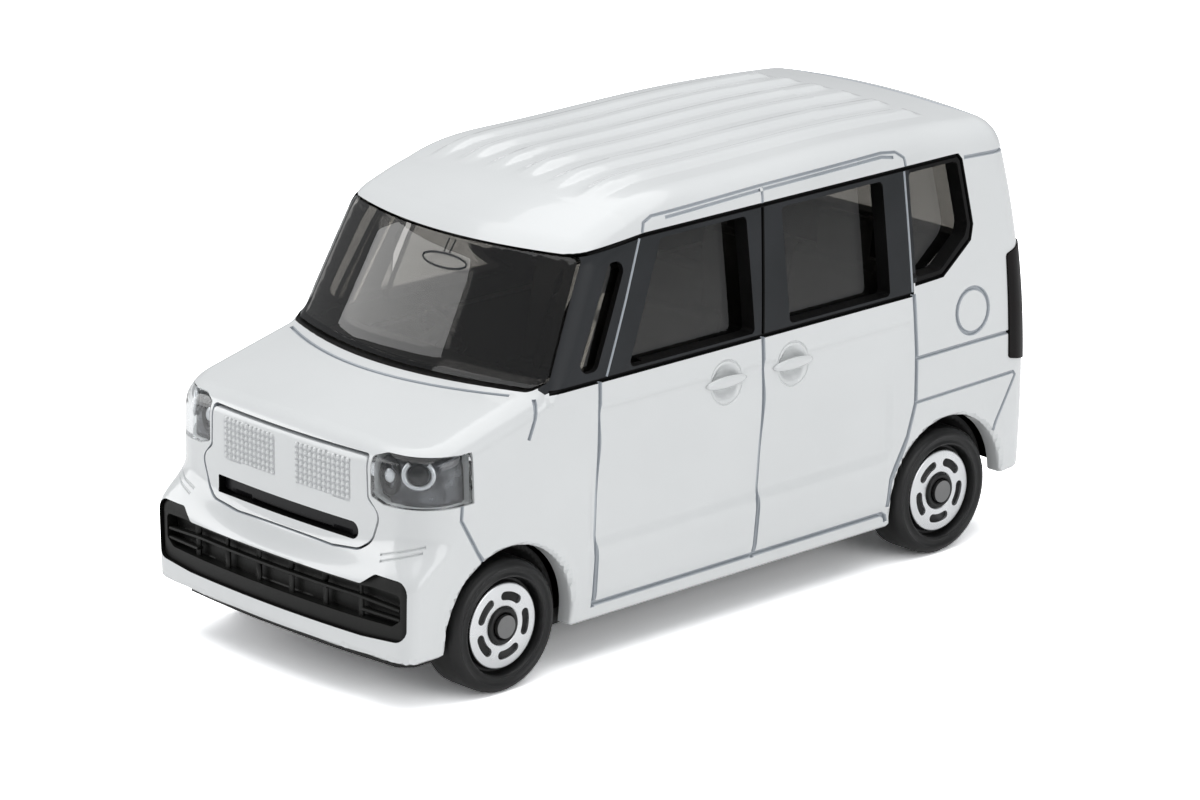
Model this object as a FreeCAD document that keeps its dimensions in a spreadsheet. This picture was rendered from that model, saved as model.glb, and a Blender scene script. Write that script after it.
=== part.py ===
"""Die-cast toy kei van, about 60 mm long: a zinc body shell over a plastic base plate, with
a smoked window moulding, a seat moulding, clear lamps, and four wheels on two steel axles.

Millimetres. X is across the van with its left side at +X, the front faces -Y, Z is up.
The origin lies on the ground under the middle of the body.
"""
import FreeCAD, Part
import Sketcher
import math
import os
import re
from types import SimpleNamespace

V = FreeCAD.Vector

# Driving dimensions, one cell each in the sheet
SIZES = {
    # body outside
    "half_length": 30.3,
    "half_width": 12.85,
    "body_height": 31.3,
    "wall": 1.2,
    "front_bow_radius": 105.0,
    "rear_bow_radius": 125.0,
    "front_corner_radius": 1.0,
    "nose_corner_radius": 2.9,
    "rear_corner_radius": 2.0,
    "nose_setback": 1.45,
    "bumper_top": 8.8,
    "shoulder_top": 11.9,
    "shoulder_dip": 1.8,
    "nose_ease": 0.12,
    "roof_edge_radius": 1.6,
    "header_edge_radius": 1.0,
    "bonnet_edge_radius": 1.3,
    "pillar_edge_radius": 1.3,
    # lower edge of the body
    "sill_height": 3.3,
    "front_bumper_height": 3.9,
    "rear_bumper_height": 4.75,
    "front_bumper_length": 6.1,
    "rear_bumper_length": 5.5,
    # bonnet, windscreen and roof lines along the middle, and how they fall off at the sides
    "bonnet_length": 10.55,
    "cowl_height": 20.0,
    "cowl_sweep": 3.0,
    "cowl_drop": 0.3,
    "nose_height": 17.1,
    "nose_drop": 0.5,
    "header_setback": 14.85,
    "header_height": 28.3,
    "header_sweep": 3.4,
    "header_drop": 0.25,
    "roof_drop": 0.9,
    # shut lines, window band and belt
    "groove_width": 0.3,
    "groove_depth": 0.22,
    "belt_height": 19.6,
    "drip_height": 28.2,
    "glass_bottom": 20.2,
    "glass_top": 27.7,
    "glass_corner_radius": 0.5,
    # window moulding
    "glass_gap": 0.08,
    "glass_thickness": 0.8,
    "glass_recess": 0.45,
    "screen_recess": 0.1,
    "glass_foot": 18.5,
    # wheels and axles
    "front_overhang": 9.5,
    "rear_overhang": 9.55,
    "tyre_radius": 4.58,
    "tyre_width": 3.4,
    "tyre_setback": 0.4,
    "tyre_shoulder": 0.45,
    "tyre_wall": 1.15,
    "face_radius": 2.75,
    "face_thickness": 0.15,
    "face_depth": 0.35,
    "face_slot_count": 5,
    "face_slot_place": 1.95,
    "face_slot_width": 0.55,
    "face_slot_sweep": 40,
    "annulus_depth": 0.9,
    "hub_radius": 1.25,
    "axle_radius": 0.6,
    "axle_head_radius": 0.78,
    "axle_head_length": 0.3,
    "axle_play": 0.05,
    "head_gap": 0.12,
    "arch_radius": 5.6,
    # base plate
    "plate_bottom": 3.1,
    "plate_thickness": 1.1,
    "plate_side_setback": 1.75,
    "plate_front_setback": 1.4,
    "plate_rear_setback": 1.7,
    "plate_gap": 0.15,
    "well_gap": 0.55,
    "well_wall": 0.4,
    "well_inner_gap": 0.75,
    "cradle_half_width": 1.7,
    "cradle_top": 5.9,
    # side windows, places along the van
    "quarter_front": -14.05,
    "quarter_rear": -13.25,
    "quarter_lean": -3.65,
    "quarter_drop": 0.7,
    "door_glass_front": -9.5,
    "door_glass_header": -6.8,
    "door_glass_rear": 1.85,
    "slide_glass_front": 5.2,
    "slide_glass_rear": 15.4,
    "rear_glass_front": 17.8,
    "rear_glass_foot": 20.2,
    "rear_glass_rear": 23.65,
    "rear_glass_header": 22.5,
    "rear_glass_bend": 22.7,
    "rear_glass_radius": 1.6,
    "band_front": -16.1,
    "band_header": -11.6,
    "band_side_setback": 1.95,
    "band_margin": 0.35,
    # windscreen and tailgate window
    "screen_bottom": 20.4,
    "screen_top": 27.5,
    "screen_foot_setback": 1.85,
    "screen_top_setback": 2.75,
    "screen_corner_radius": 0.8,
    "gate_glass_bottom": 20.5,
    "gate_glass_top": 26.9,
    "gate_glass_foot_half": 8.9,
    "gate_glass_top_half": 8.3,
    # shut lines and side details
    "door_bottom": 4.4,
    "front_seam_top": -12.5,
    "front_seam_foot": -13.3,
    "middle_seam_top": 2.6,
    "middle_seam_foot": 1.6,
    "rear_seam_top": 17.4,
    "rear_seam_bend": 16.6,
    "rear_seam_bend_height": 9.6,
    "rear_seam_foot": 15.0,
    "rear_seam_turn_height": 6.8,
    "rear_seam_end": 14.65,
    "handle_height": 17.2,
    "handle_length": 3.0,
    "handle_width": 0.75,
    "handle_rise": 0.2,
    "handle_gap": 0.9,
    "bowl_radius": 1.1,
    "bowl_depth": 0.3,
    "quarter_line_high": 15.05,
    "quarter_line_low": 11.9,
    "bumper_seam_top": 27.55,
    "bumper_seam_foot": 25.1,
    "bumper_seam_low": 7.9,
    "fender_seam_top": -25.0,
    "fender_seam_foot": -23.3,
    "fender_seam_low": 9.3,
    "bonnet_seam_top": -18.45,
    "bonnet_seam_foot": -19.3,
    "bonnet_seam_low": 17.1,
    "tailgate_half": 9.8,
    "tailgate_bottom": 8.6,
    "tailgate_top": 28.2,
    "tailgate_corner_radius": 1.0,
    "fuel_lid_place": 23.15,
    "fuel_lid_height": 17.35,
    "fuel_lid_radius": 1.6,
    # lamps and grilles
    "lamp_width": 5.3,
    "lamp_bottom": 14.0,
    "lamp_top": 17.1,
    "lamp_length": 6.3,
    "lamp_depth": 0.8,
    "lamp_back_thickness": 0.7,
    "lamp_gap": 0.06,
    "tail_width": 2.45,
    "tail_length": 3.55,
    "tail_bottom": 12.2,
    "tail_top": 21.7,
    "tail_slope": 1.0,
    "tail_depth": 0.8,
    "panel_foot_half": 7.75,
    "panel_top_half": 7.2,
    "panel_bottom": 10.2,
    "panel_top": 16.7,
    "panel_depth": 0.8,
    "panel_corner_radius": 0.5,
    "panel_gap": 0.1,
    "slot_half_length": 7.0,
    "slot_height": 1.1,
    "slot_place": 11.8,
    "slot_flat": 0.02,
    "mouth_foot_half": 8.9,
    "mouth_side_margin": 0.85,
    "mouth_bottom": 5.2,
    "mouth_top": 8.1,
    "mouth_cheek": 0.7,
    "mouth_corner_radius": 0.35,
    "ear_top": 9.4,
    "ear_inner_top": 8.8,
    "ear_inner_foot": 8.0,
    # roof ribs and rivet posts
    "rib_count": 6,
    "rib_pitch": 2.9,
    "rib_width": 1.5,
    "rib_rise": 0.15,
    "rib_front": -8.2,
    "rib_rear": 22.4,
    "front_post_setback": 5.3,
    "rear_post_setback": 3.4,
    "screen_liner_setback": 11.3,
    "post_radius": 2.0,
    "rivet_radius": 1.0,
    "rivet_head_radius": 1.5,
    "rivet_head_height": 0.5,
    "tail_rise": 0.12,
    "slot_sink": 0.6,
    "mouth_sink": 0.3,
    "mouth_back_depth": 1.0,
    "mouth_back_thickness": 0.5,
    "mouth_frame": 0.35,
    "mouth_bar": 0.35,
    "mouth_bar_low": 6.0,
    "mouth_bar_high": 7.0,
    "mouth_upright_count": 6,
    "mouth_upright_pitch": 2.6,
    "wheel_room": 4.2,
    "axle_end_sink": 0.25,
    "hub_sink": 0.4,
    # seat moulding
    "tub_side_setback": 2.75,
    "tub_front": -18.4,
    "tub_rear": 24.9,
    "tub_bottom": 10.2,
    "tub_height": 8.3,
    "tub_wall": 0.8,
    "dash_length": 5.5,
    "dash_height": 9.3,
    "seat_gap": 1.2,
    "seat_width": 7.6,
    "seat_length": 7.5,
    "seat_height": 4.4,
    "seat_lean": 1.3,
    "seat_dip": 0.6,
    "seat_thickness": 1.8,
    "seat_corner_radius": 0.7,
    "seat_back_height": 10.5,
    "headrest_width": 4.0,
    "headrest_thickness": 1.3,
    "headrest_height": 13.4,
    "headrest_corner_radius": 0.5,
    "front_seat_place": -6.0,
    "rear_seat_place": 10.5,
    "column_place": 4.4,
    "column_radius": 0.5,
    "column_length": 3.2,
    "column_lean": 65.0,
    "rim_radius": 2.1,
    "rim_thickness": 0.4,
}


def start_sheet(doc):
    """Write each driving dimension to its own named cell."""
    sheet = doc.addObject("Spreadsheet::Sheet", "sizes")
    for row, (name, value) in enumerate(SIZES.items(), start=1):
        sheet.set(f"A{row}", name)
        sheet.set(f"B{row}", str(value))
        sheet.setAlias(f"B{row}", name)
    doc.recompute()
    return sheet


doc = FreeCAD.newDocument("toy_kei_van")
sheet = start_sheet(doc)
d = SimpleNamespace(**{name: float(sheet.get(name)) for name in SIZES})


def tied(text):
    """Turn names of sizes in a sum into references to the sheet's cells."""
    return re.sub(r"[a-z][a-z_]+", lambda found: "sizes." + found.group(), text)


def solid_piece(label, shape):
    """Put a finished shape in the document as one labelled piece."""
    piece = doc.addObject("Part::Feature", label)
    piece.Label = label
    piece.Shape = shape
    piece.Placement = FreeCAD.Placement()
    return piece


# Places that follow the ends and the sides of the body
d.nose_place = d.nose_setback - d.half_length
d.front_bumper_end = d.front_bumper_length - d.half_length
d.rear_bumper_start = d.half_length - d.rear_bumper_length
d.cowl_place = d.bonnet_length - d.half_length
d.header_place = d.header_setback - d.half_length
d.front_axle_place = d.front_overhang - d.half_length
d.rear_axle_place = d.half_length - d.rear_overhang
d.lamp_rear_place = d.lamp_length - d.half_length
d.tail_front_place = d.half_length - d.tail_length
d.screen_liner_front = d.screen_liner_setback - d.half_length
d.mouth_half = d.half_width - d.mouth_side_margin
d.tub_half_width = d.half_width - d.tub_side_setback
d.lamp_inner_place = d.half_width - d.lamp_width
d.tail_inner_place = d.half_width - d.tail_width
d.band_inner_place = d.half_width - d.band_side_setback
d.screen_foot_half = d.half_width - d.screen_foot_setback
d.screen_top_half = d.half_width - d.screen_top_setback

# The same for the pieces that are tied to the sheet, as sums of its names
FRONT_AXLE = "(front_overhang - half_length)"
REAR_AXLE = "(half_length - rear_overhang)"
FRONT_POST = "(front_post_setback - half_length)"
REAR_POST = "(half_length - rear_post_setback)"
PLATE_HALF = "(half_width - plate_side_setback)"
TYRE_OUTER = "(half_width - tyre_setback)"
WELL_INNER = "(half_width - tyre_setback - tyre_width - well_inner_gap)"
AXLE_END = "(half_width - tyre_setback - axle_end_sink)"
TUB_HALF = "(half_width - tub_side_setback)"

side_out = d.half_width + d.wall
side_in = d.half_width - 2 * d.wall - d.glass_thickness
rear_out = d.half_length + d.wall

# The body's form: level cuts from the sills to the roof, less what stands before the nose above
# the bumper, trimmed by the bonnet, windscreen and roof

# Each level: height, half width and reach to the rear, as shares of the body's own
LEVEL_SHARES = (
    (-0.100, 0.955, 0.979),
    (0.240, 1.000, 0.989),
    (0.540, 0.993, 0.987),
    (0.770, 0.937, 0.968),
    (1.040, 0.848, 0.913),
)


def prism(outline, travel):
    """A closed outline carried along by a travel."""
    return Part.Face(outline).extrude(travel)


def end_of_outline(reach, bow, corner, side):
    """Where a bowed end meets its round corner and the corner meets the side."""
    bow_centre = reach - bow
    across = side - corner
    along = bow_centre + math.sqrt((bow - corner) ** 2 - across ** 2)
    lean = V(across, along - bow_centre, 0).normalize()
    on_bow = V(0, bow_centre, 0) + lean * bow
    middle = V(across, along, 0) + (lean + V(1, 0, 0)).normalize() * corner
    on_side = V(side, along, 0)
    return on_bow, middle, on_side, V(0, reach, 0)


def corner_chord(start, middle, end):
    """A straight line across a corner, in place of its arc."""
    return Part.LineSegment(start, end)


def plan_outline(height, side, front, front_corner, rear, plain, dip=0):
    """The body seen from above at one height: bowed front and rear, round or plain corners."""
    lift = V(0, 0, height)
    tail = end_of_outline(rear, d.rear_bow_radius, d.rear_corner_radius, side)
    nose = end_of_outline(front, d.front_bow_radius, front_corner, side)
    tail_left = [point + lift for point in tail]
    tail_right = [V(-point.x, point.y, point.z) for point in tail_left]
    nose_left = [V(point.x, -point.y, point.z) + lift for point in nose]
    nose_right = [V(-point.x, point.y, point.z) for point in nose_left]
    corner = corner_chord if plain else Part.Arc
    edges = [
        Part.Arc(nose_right[0], nose_left[3] - V(0, 0, dip), nose_left[0]),
        corner(nose_left[0], nose_left[1], nose_left[2]),
        Part.LineSegment(nose_left[2], tail_left[2]),
        corner(tail_left[2], tail_left[1], tail_left[0]),
        Part.Arc(tail_left[0], tail_left[3], tail_right[0]),
        corner(tail_right[0], tail_right[1], tail_right[2]),
        Part.LineSegment(tail_right[2], nose_right[2]),
        corner(nose_right[2], nose_right[1], nose_right[0]),
    ]
    return Part.Wire([edge.toShape() for edge in edges])


def nose_cutter(inset, plain):
    """What stands before the nose, above the bumper's sloping shoulder."""
    side = d.half_width + d.nose_ease - inset
    foot = d.bumper_top - inset
    top = 2 * d.body_height
    nose = -d.nose_place - inset
    outlines = [
        plan_outline(
            foot, side, d.half_length + d.nose_ease - inset, d.front_corner_radius, d.half_length,
            plain),
        plan_outline(
            d.shoulder_top - inset, side, nose, d.nose_corner_radius, d.half_length, plain,
            d.shoulder_dip),
        plan_outline(top, side, nose, d.nose_corner_radius, d.half_length, plain),
    ]
    room = Part.makeBox(
        2 * side_out, rear_out + d.lamp_rear_place, top - foot, V(-side_out, -rear_out, foot))
    return room.cut(Part.makeLoft(outlines, True, True))


def body_sides(inset, plain):
    """The body's walls all round, bowed from sill to roof, or straight from level to level if plain."""
    levels = [
        plan_outline(
            high * d.body_height, wide * d.half_width - inset, d.half_length - inset,
            d.front_corner_radius, rear * d.half_length - inset, plain)
        for high, wide, rear in LEVEL_SHARES
    ]
    return Part.makeLoft(levels, True, plain).cut(nose_cutter(inset, plain))


# Points of the roof line behind the windscreen: reach back over the half length, height
ROOF_SHARES = ((-0.350, 0.968), (-0.020, 0.996), (0.420, 0.999), (0.900, 0.975), (1.150, 0.952))


def top_line(place, spread, plain=False):
    """Cut along the van at one place across: bonnet, windscreen and roof over a flat bottom."""
    fall = spread ** 2
    far = d.half_length * ROOF_SHARES[-1][0]
    slope = (d.cowl_height - d.nose_height) / (d.half_length + d.cowl_place)
    nose_height = d.nose_height - d.nose_drop * fall - slope * (far - d.half_length)
    cowl = V(place, d.cowl_place + d.cowl_sweep * fall, d.cowl_height - d.cowl_drop * fall)
    header = V(place, d.header_place + d.header_sweep * fall, d.header_height - d.header_drop * fall)
    roof = [header]
    for back, high in ROOF_SHARES:
        roof.append(V(place, back * d.half_length, high * d.body_height - d.roof_drop * fall))
    roof[1] = roof[1] + V(0, d.header_sweep * fall, 0)
    if plain:
        roof_lines = [Part.LineSegment(*ends) for ends in zip(roof, roof[1:])]
    else:
        run = roof[-1].y - d.header_place
        steps = [0] + [(back * d.half_length - d.header_place) / run for back, high in ROOF_SHARES]
        roof_lines = [Part.BSplineCurve()]
        roof_lines[0].interpolate(Points=roof, Parameters=steps)
    low_front = V(place, -far, -d.sill_height)
    low_rear = V(place, far, -d.sill_height)
    nose = V(place, -far, nose_height)
    edges = [
        Part.LineSegment(low_rear, low_front),
        Part.LineSegment(low_front, nose),
        Part.LineSegment(nose, cowl),
        Part.LineSegment(cowl, header),
        *roof_lines,
        Part.LineSegment(roof[-1], low_rear),
    ]
    return Part.Wire([edge.toShape() for edge in edges])


def body_top(inset, plain):
    """Everything under the bonnet, windscreen and roof, set in by a wall."""
    spreads = (-1, -1 / 2, 0, 1 / 2, 1) if plain else (-1, 0, 1)
    lines = [top_line(spread * side_out, spread, plain) for spread in spreads]
    mass = Part.makeLoft(lines, True, plain)
    rise = V(0, d.header_place - d.cowl_place, d.header_height - d.cowl_height).normalize()
    back = (1 - rise.y) / rise.z
    mass.translate(V(0, back * inset, -inset))
    return mass


def body_form(inset, plain=True):
    """The body as one block with sharp edges, set in from its outside; plain for what is hidden."""
    return body_sides(inset, plain).common(body_top(inset, plain))


def edge_radius(edge):
    """The radius that rounds one edge of the body block, or zero for an edge that stays."""
    box = edge.BoundBox
    lowest_bonnet = d.nose_height - d.nose_drop - d.groove_width
    if box.ZMin < lowest_bonnet:
        return 0
    if box.ZMax > d.glass_bottom and box.ZMin < d.glass_bottom:
        return d.pillar_edge_radius
    if box.ZMin > d.glass_bottom and box.YMax < 0:
        return d.header_edge_radius
    if box.ZMin > d.glass_bottom:
        return d.roof_edge_radius
    if box.XLength > 2 * (d.half_width - d.wall):
        return 0
    return d.bonnet_edge_radius


def rounded_form(inset):
    """The body block with its bonnet, pillar and roof edges rounded, set in from its outside."""
    block = doc.addObject("Part::Feature", "body_block")
    block.Shape = body_form(inset, plain=False)
    rounded = doc.addObject("Part::Fillet", "rounded_block")
    rounded.Base = block
    rounded.Edges = [
        (number, edge_radius(edge) - inset, edge_radius(edge) - inset)
        for number, edge in enumerate(block.Shape.Edges, start=1) if edge_radius(edge) > 0
    ]
    rounded.recompute()
    return rounded.Shape.Solids[0]


# Tools that cut the body: outlines seen from the side or from the front, carried right across

def side_prism(outline, from_x, to_x):
    """A shape seen from the side, carried across the van."""
    face = Part.Face(outline)
    face.translate(V(from_x, 0, 0))
    return face.extrude(V(to_x - from_x, 0, 0))


def front_prism(outline, from_y, to_y):
    """A shape seen from the front, carried along the van."""
    face = Part.Face(outline)
    face.translate(V(0, from_y, 0))
    return face.extrude(V(0, to_y - from_y, 0))


def corner_points(before, corner, after, radius):
    """Start, middle and end of the arc that rounds one corner of an outline."""
    to_before = (before - corner).normalize()
    to_after = (after - corner).normalize()
    half = to_before.getAngle(to_after) / 2
    reach = radius / math.tan(half)
    bisector = (to_before + to_after).normalize()
    centre = corner + bisector * (radius / math.sin(half))
    return corner + to_before * reach, centre - bisector * radius, corner + to_after * reach


def rounded_outline(corners, radii):
    """A closed outline with each corner rounded by its own radius."""
    arcs = []
    count = len(corners)
    for number, corner in enumerate(corners):
        before = corners[number - 1]
        after = corners[(number + 1) % count]
        arcs.append(corner_points(before, corner, after, radii[number]))
    edges = []
    for number, (start, middle, end) in enumerate(arcs):
        edges.append(Part.Arc(start, middle, end).toShape())
        edges.append(Part.LineSegment(end, arcs[(number + 1) % count][0]).toShape())
    return Part.Wire(edges)


def seen_from_side(pairs):
    """Points of the side view, as places along the van and heights."""
    return [V(0, along, high) for along, high in pairs]


def seen_from_front(pairs):
    """Points of the front view, as places across the van and heights."""
    return [V(across, 0, high) for across, high in pairs]


def mirrored(shape):
    """The same shape on the other side of the van."""
    return shape.mirror(V(0, 0, 0), V(1, 0, 0))


def both_sides(shape):
    """A shape on the left side with its twin on the right."""
    return shape.fuse(mirrored(shape))


outer = rounded_form(0)
grooved = rounded_form(d.groove_depth)
inner = body_form(d.wall)

# The lower edge and the wheel arches


def side_cylinder(along, high, radius, from_x, to_x):
    """A round bar across the van."""
    return Part.makeCylinder(radius, to_x - from_x, V(from_x, along, high), V(1, 0, 0))


def lower_edge_tool():
    """What lies below the bumpers and sills."""
    pairs = (
        (-rear_out, -d.sill_height),
        (-rear_out, d.front_bumper_height),
        (d.front_bumper_end, d.front_bumper_height),
        (d.front_bumper_end, d.sill_height),
        (d.rear_bumper_start, d.sill_height),
        (d.rear_bumper_start, d.rear_bumper_height),
        (rear_out, d.rear_bumper_height),
        (rear_out, -d.sill_height),
    )
    points = seen_from_side(pairs)
    return side_prism(Part.makePolygon(points + points[:1]), -side_out, side_out)


def arch_tool():
    """The wheel arches, cut through both sides."""
    front = side_cylinder(d.front_axle_place, d.tyre_radius, d.arch_radius, -side_out, side_out)
    rear = side_cylinder(d.rear_axle_place, d.tyre_radius, d.arch_radius, -side_out, side_out)
    return front.fuse(rear)


# The window openings

# Corners of each side window: place along the van and height, in the window band's own sizes
def side_windows(grow):
    """Outlines of the four windows in one side, made larger or smaller by a gap."""
    low = d.glass_bottom - grow
    high = d.glass_top + grow
    radius = d.glass_corner_radius
    quarter = (
        (d.quarter_front - grow, low),
        (d.quarter_rear + grow, low),
        (d.quarter_rear - d.quarter_lean + grow, high - d.quarter_drop),
        (d.quarter_front - d.quarter_lean - grow, high - d.quarter_drop),
    )
    door = (
        (d.door_glass_front - grow, low),
        (d.door_glass_rear + grow, low),
        (d.door_glass_rear + grow, high),
        (d.door_glass_header - grow, high),
    )
    slide = (
        (d.slide_glass_front - grow, low),
        (d.slide_glass_rear + grow, low),
        (d.slide_glass_rear + grow, high),
        (d.slide_glass_front - grow, high),
    )
    rear = (
        (d.rear_glass_front - grow, low),
        (d.rear_glass_foot + grow, low),
        (d.rear_glass_rear + grow, d.rear_glass_bend),
        (d.rear_glass_header + grow, high),
        (d.rear_glass_front - grow, high),
    )
    outlines = [rounded_outline(seen_from_side(pairs), [radius] * 4) for pairs in (door, slide)]
    outlines.append(rounded_outline(seen_from_side(quarter), [radius / 2] * 4))
    bends = [radius, d.rear_glass_radius, d.rear_glass_radius, radius, radius]
    outlines.append(rounded_outline(seen_from_side(rear), bends))
    return outlines


def windows_tool(grow):
    """Every side window carried through its wall, on both sides."""
    tool = None
    for outline in side_windows(grow):
        window = side_prism(outline, side_in, side_out)
        tool = window if tool is None else tool.fuse(window)
    return both_sides(tool)


def screen_tool(grow):
    """The windscreen opening, seen from the front."""
    pairs = (
        (-d.screen_foot_half - grow, d.screen_bottom - grow),
        (d.screen_foot_half + grow, d.screen_bottom - grow),
        (d.screen_top_half + grow, d.screen_top + grow),
        (-d.screen_top_half - grow, d.screen_top + grow),
    )
    outline = rounded_outline(seen_from_front(pairs), [d.screen_corner_radius] * 4)
    return front_prism(outline, -rear_out, d.header_place + d.header_sweep + 2 * d.wall)


def rear_window_tool(grow):
    """The tailgate window opening, seen from behind."""
    pairs = (
        (-d.gate_glass_foot_half - grow, d.gate_glass_bottom - grow),
        (d.gate_glass_foot_half + grow, d.gate_glass_bottom - grow),
        (d.gate_glass_top_half + grow, d.gate_glass_top + grow),
        (-d.gate_glass_top_half - grow, d.gate_glass_top + grow),
    )
    outline = rounded_outline(seen_from_front(pairs), [d.screen_corner_radius] * 4)
    return front_prism(outline, d.rear_axle_place, rear_out)


# Shut lines: thin ribbons, cut down to the groove's depth

def ribbon(points, shift):
    """A thin strip between a line of points and the same line moved over by the groove's width."""
    moved = [point + shift for point in points]
    if len(points) > 2:
        near = Part.BSplineCurve()
        near.interpolate(points)
        far = Part.BSplineCurve()
        far.interpolate(moved)
    else:
        near = Part.LineSegment(points[0], points[1])
        far = Part.LineSegment(moved[0], moved[1])
    ends = [
        Part.LineSegment(points[-1], moved[-1]),
        Part.LineSegment(moved[0], points[0]),
    ]
    return Part.Wire(Part.__sortEdges__([curve.toShape() for curve in (near, far, *ends)]))


def side_seams():
    """The door and panel shut lines in one side."""
    along = V(0, d.groove_width, 0)
    upward = V(0, 0, d.groove_width)
    sill_top = d.door_bottom
    front_seam = (
        (d.front_seam_top, d.belt_height), (d.front_seam_foot, sill_top))
    middle_seam = (
        (d.middle_seam_top, d.drip_height), (d.middle_seam_top, d.handle_height),
        (d.middle_seam_foot, sill_top))
    rear_seam = (
        (d.rear_seam_top, d.drip_height), (d.rear_seam_top, d.quarter_line_low))
    arch_seam = (
        (d.rear_seam_top, d.quarter_line_low), (d.rear_seam_bend, d.rear_seam_bend_height),
        (d.rear_seam_foot, d.rear_seam_turn_height), (d.rear_seam_end, sill_top))
    strips = [
        ribbon(seen_from_side(front_seam), along),
        ribbon(seen_from_side(middle_seam), along),
        ribbon(seen_from_side(rear_seam), along),
        ribbon(seen_from_side(arch_seam), along),
    ]
    bumper_seam = (
        (d.bumper_seam_top, d.quarter_line_low), (d.bumper_seam_foot, d.bumper_seam_low))
    fender_seam = (
        (d.fender_seam_top, d.lamp_bottom), (d.fender_seam_foot, d.fender_seam_low))
    bonnet_seam = (
        (d.bonnet_seam_top, d.belt_height), (d.bonnet_seam_foot, d.bonnet_seam_low))
    for line in (bumper_seam, fender_seam, bonnet_seam):
        strips.append(ribbon(seen_from_side(line), along))
    sill_line = ((d.front_seam_foot, sill_top), (d.rear_seam_end + d.groove_width, sill_top))
    strips.append(ribbon(seen_from_side(sill_line), upward))
    for height in (d.quarter_line_high, d.quarter_line_low):
        line = ((d.rear_seam_top, height), (d.half_length, height))
        strips.append(ribbon(seen_from_side(line), upward))
    return strips


def tailgate_seam():
    """The shut line round the tailgate, seen from behind."""
    rings = []
    for inset in (0, d.groove_width):
        half = d.tailgate_half - inset
        pairs = ((-half, d.tailgate_bottom + inset), (half, d.tailgate_bottom + inset),
                 (half, d.tailgate_top - inset), (-half, d.tailgate_top - inset))
        radii = [d.tailgate_corner_radius - inset] * 4
        outline = rounded_outline(seen_from_front(pairs), radii)
        rings.append(front_prism(outline, d.tub_rear, rear_out))
    return rings[0].cut(rings[1])


def groove_tool():
    """All shut lines as one cutter that goes in to the groove's depth."""
    tool = None
    for outline in side_seams():
        strip = side_prism(outline, d.half_width - 2 * d.wall, side_out)
        tool = strip if tool is None else tool.fuse(strip)
    tool = both_sides(tool)
    lid = side_cylinder(
        d.fuel_lid_place, d.fuel_lid_height, d.fuel_lid_radius, d.half_width - d.wall, side_out)
    lid_inside = side_cylinder(
        d.fuel_lid_place, d.fuel_lid_height, d.fuel_lid_radius - d.groove_width,
        d.half_width - d.wall, side_out)
    tool = tool.fuse([lid.cut(lid_inside), tailgate_seam()])
    return tool.cut(grooved)


def window_band():
    """The dark band that the pillars and side windows sit in, just under the body's surface."""
    pairs = (
        (d.band_front, d.belt_height),
        (d.rear_glass_foot + d.band_margin, d.belt_height),
        (d.rear_glass_rear + d.band_margin, d.rear_glass_bend),
        (d.rear_glass_header + d.band_margin, d.drip_height),
        (d.band_header, d.drip_height),
    )
    radius = d.rear_glass_radius
    outline = rounded_outline(
        seen_from_side(pairs), [d.groove_width, radius, radius, d.glass_corner_radius, d.groove_width])
    band = side_prism(outline, d.band_inner_place, side_out)
    return both_sides(band).cut(grooved)


# Lamps and grilles share these regions with the openings in the body

def lamp_region(grow):
    """Where the left headlamp sits, round the front corner."""
    pairs = (
        (d.lamp_inner_place - grow, d.lamp_bottom - grow),
        (side_out + grow, d.lamp_bottom - grow),
        (side_out + grow, d.lamp_top + grow),
        (d.lamp_inner_place - grow, d.lamp_top + grow),
    )
    points = seen_from_front(pairs)
    outline = Part.makePolygon(points + points[:1])
    return front_prism(outline, -rear_out, d.lamp_rear_place + grow)


def tail_region(grow):
    """Where the left tail lamp sits, on the rear corner."""
    pairs = (
        (d.tail_front_place - grow, d.tail_bottom + d.tail_slope - grow),
        (rear_out + grow, d.tail_bottom - grow),
        (rear_out + grow, d.tail_top + grow),
        (d.tail_front_place - grow, d.tail_top - d.tail_slope + grow),
    )
    points = seen_from_side(pairs)
    outline = Part.makePolygon(points + points[:1])
    return side_prism(outline, d.tail_inner_place - grow, side_out)


def panel_region(grow):
    """Where the grille panel sits, between the lamps."""
    pairs = (
        (-d.panel_foot_half - grow, d.panel_bottom - grow),
        (d.panel_foot_half + grow, d.panel_bottom - grow),
        (d.panel_top_half + grow, d.panel_top + grow),
        (-d.panel_top_half - grow, d.panel_top + grow),
    )
    outline = rounded_outline(seen_from_front(pairs), [d.panel_corner_radius] * 4)
    return front_prism(outline, -rear_out, d.lamp_rear_place)


def slot_region(grow, from_y=-rear_out, to_y=d.lamp_rear_place):
    """The long round-ended air slot in the grille panel."""
    half = d.slot_half_length + grow
    high = d.slot_height / 2 + grow
    pairs = ((-half, d.slot_place - high), (half, d.slot_place - high),
             (half, d.slot_place + high), (-half, d.slot_place + high))
    radius = high - d.slot_flat
    outline = rounded_outline(seen_from_front(pairs), [radius] * 4)
    return front_prism(outline, from_y, to_y)


def mouth_region(grow):
    """The wide lower air intake with a raised ear at each end."""
    left = (
        (d.mouth_foot_half + grow, d.mouth_bottom - grow),
        (d.mouth_half + grow, d.mouth_bottom + d.mouth_cheek),
        (d.mouth_half + grow, d.ear_top + grow),
        (d.ear_inner_top - grow, d.ear_top + grow),
        (d.ear_inner_foot - grow, d.mouth_top + grow),
    )
    pairs = left + tuple((-across, high) for across, high in reversed(left))
    outline = rounded_outline(seen_from_front(pairs), [d.mouth_corner_radius] * 10)
    return front_prism(outline, -rear_out, d.nose_place + d.wall)


# The body shell

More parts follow.
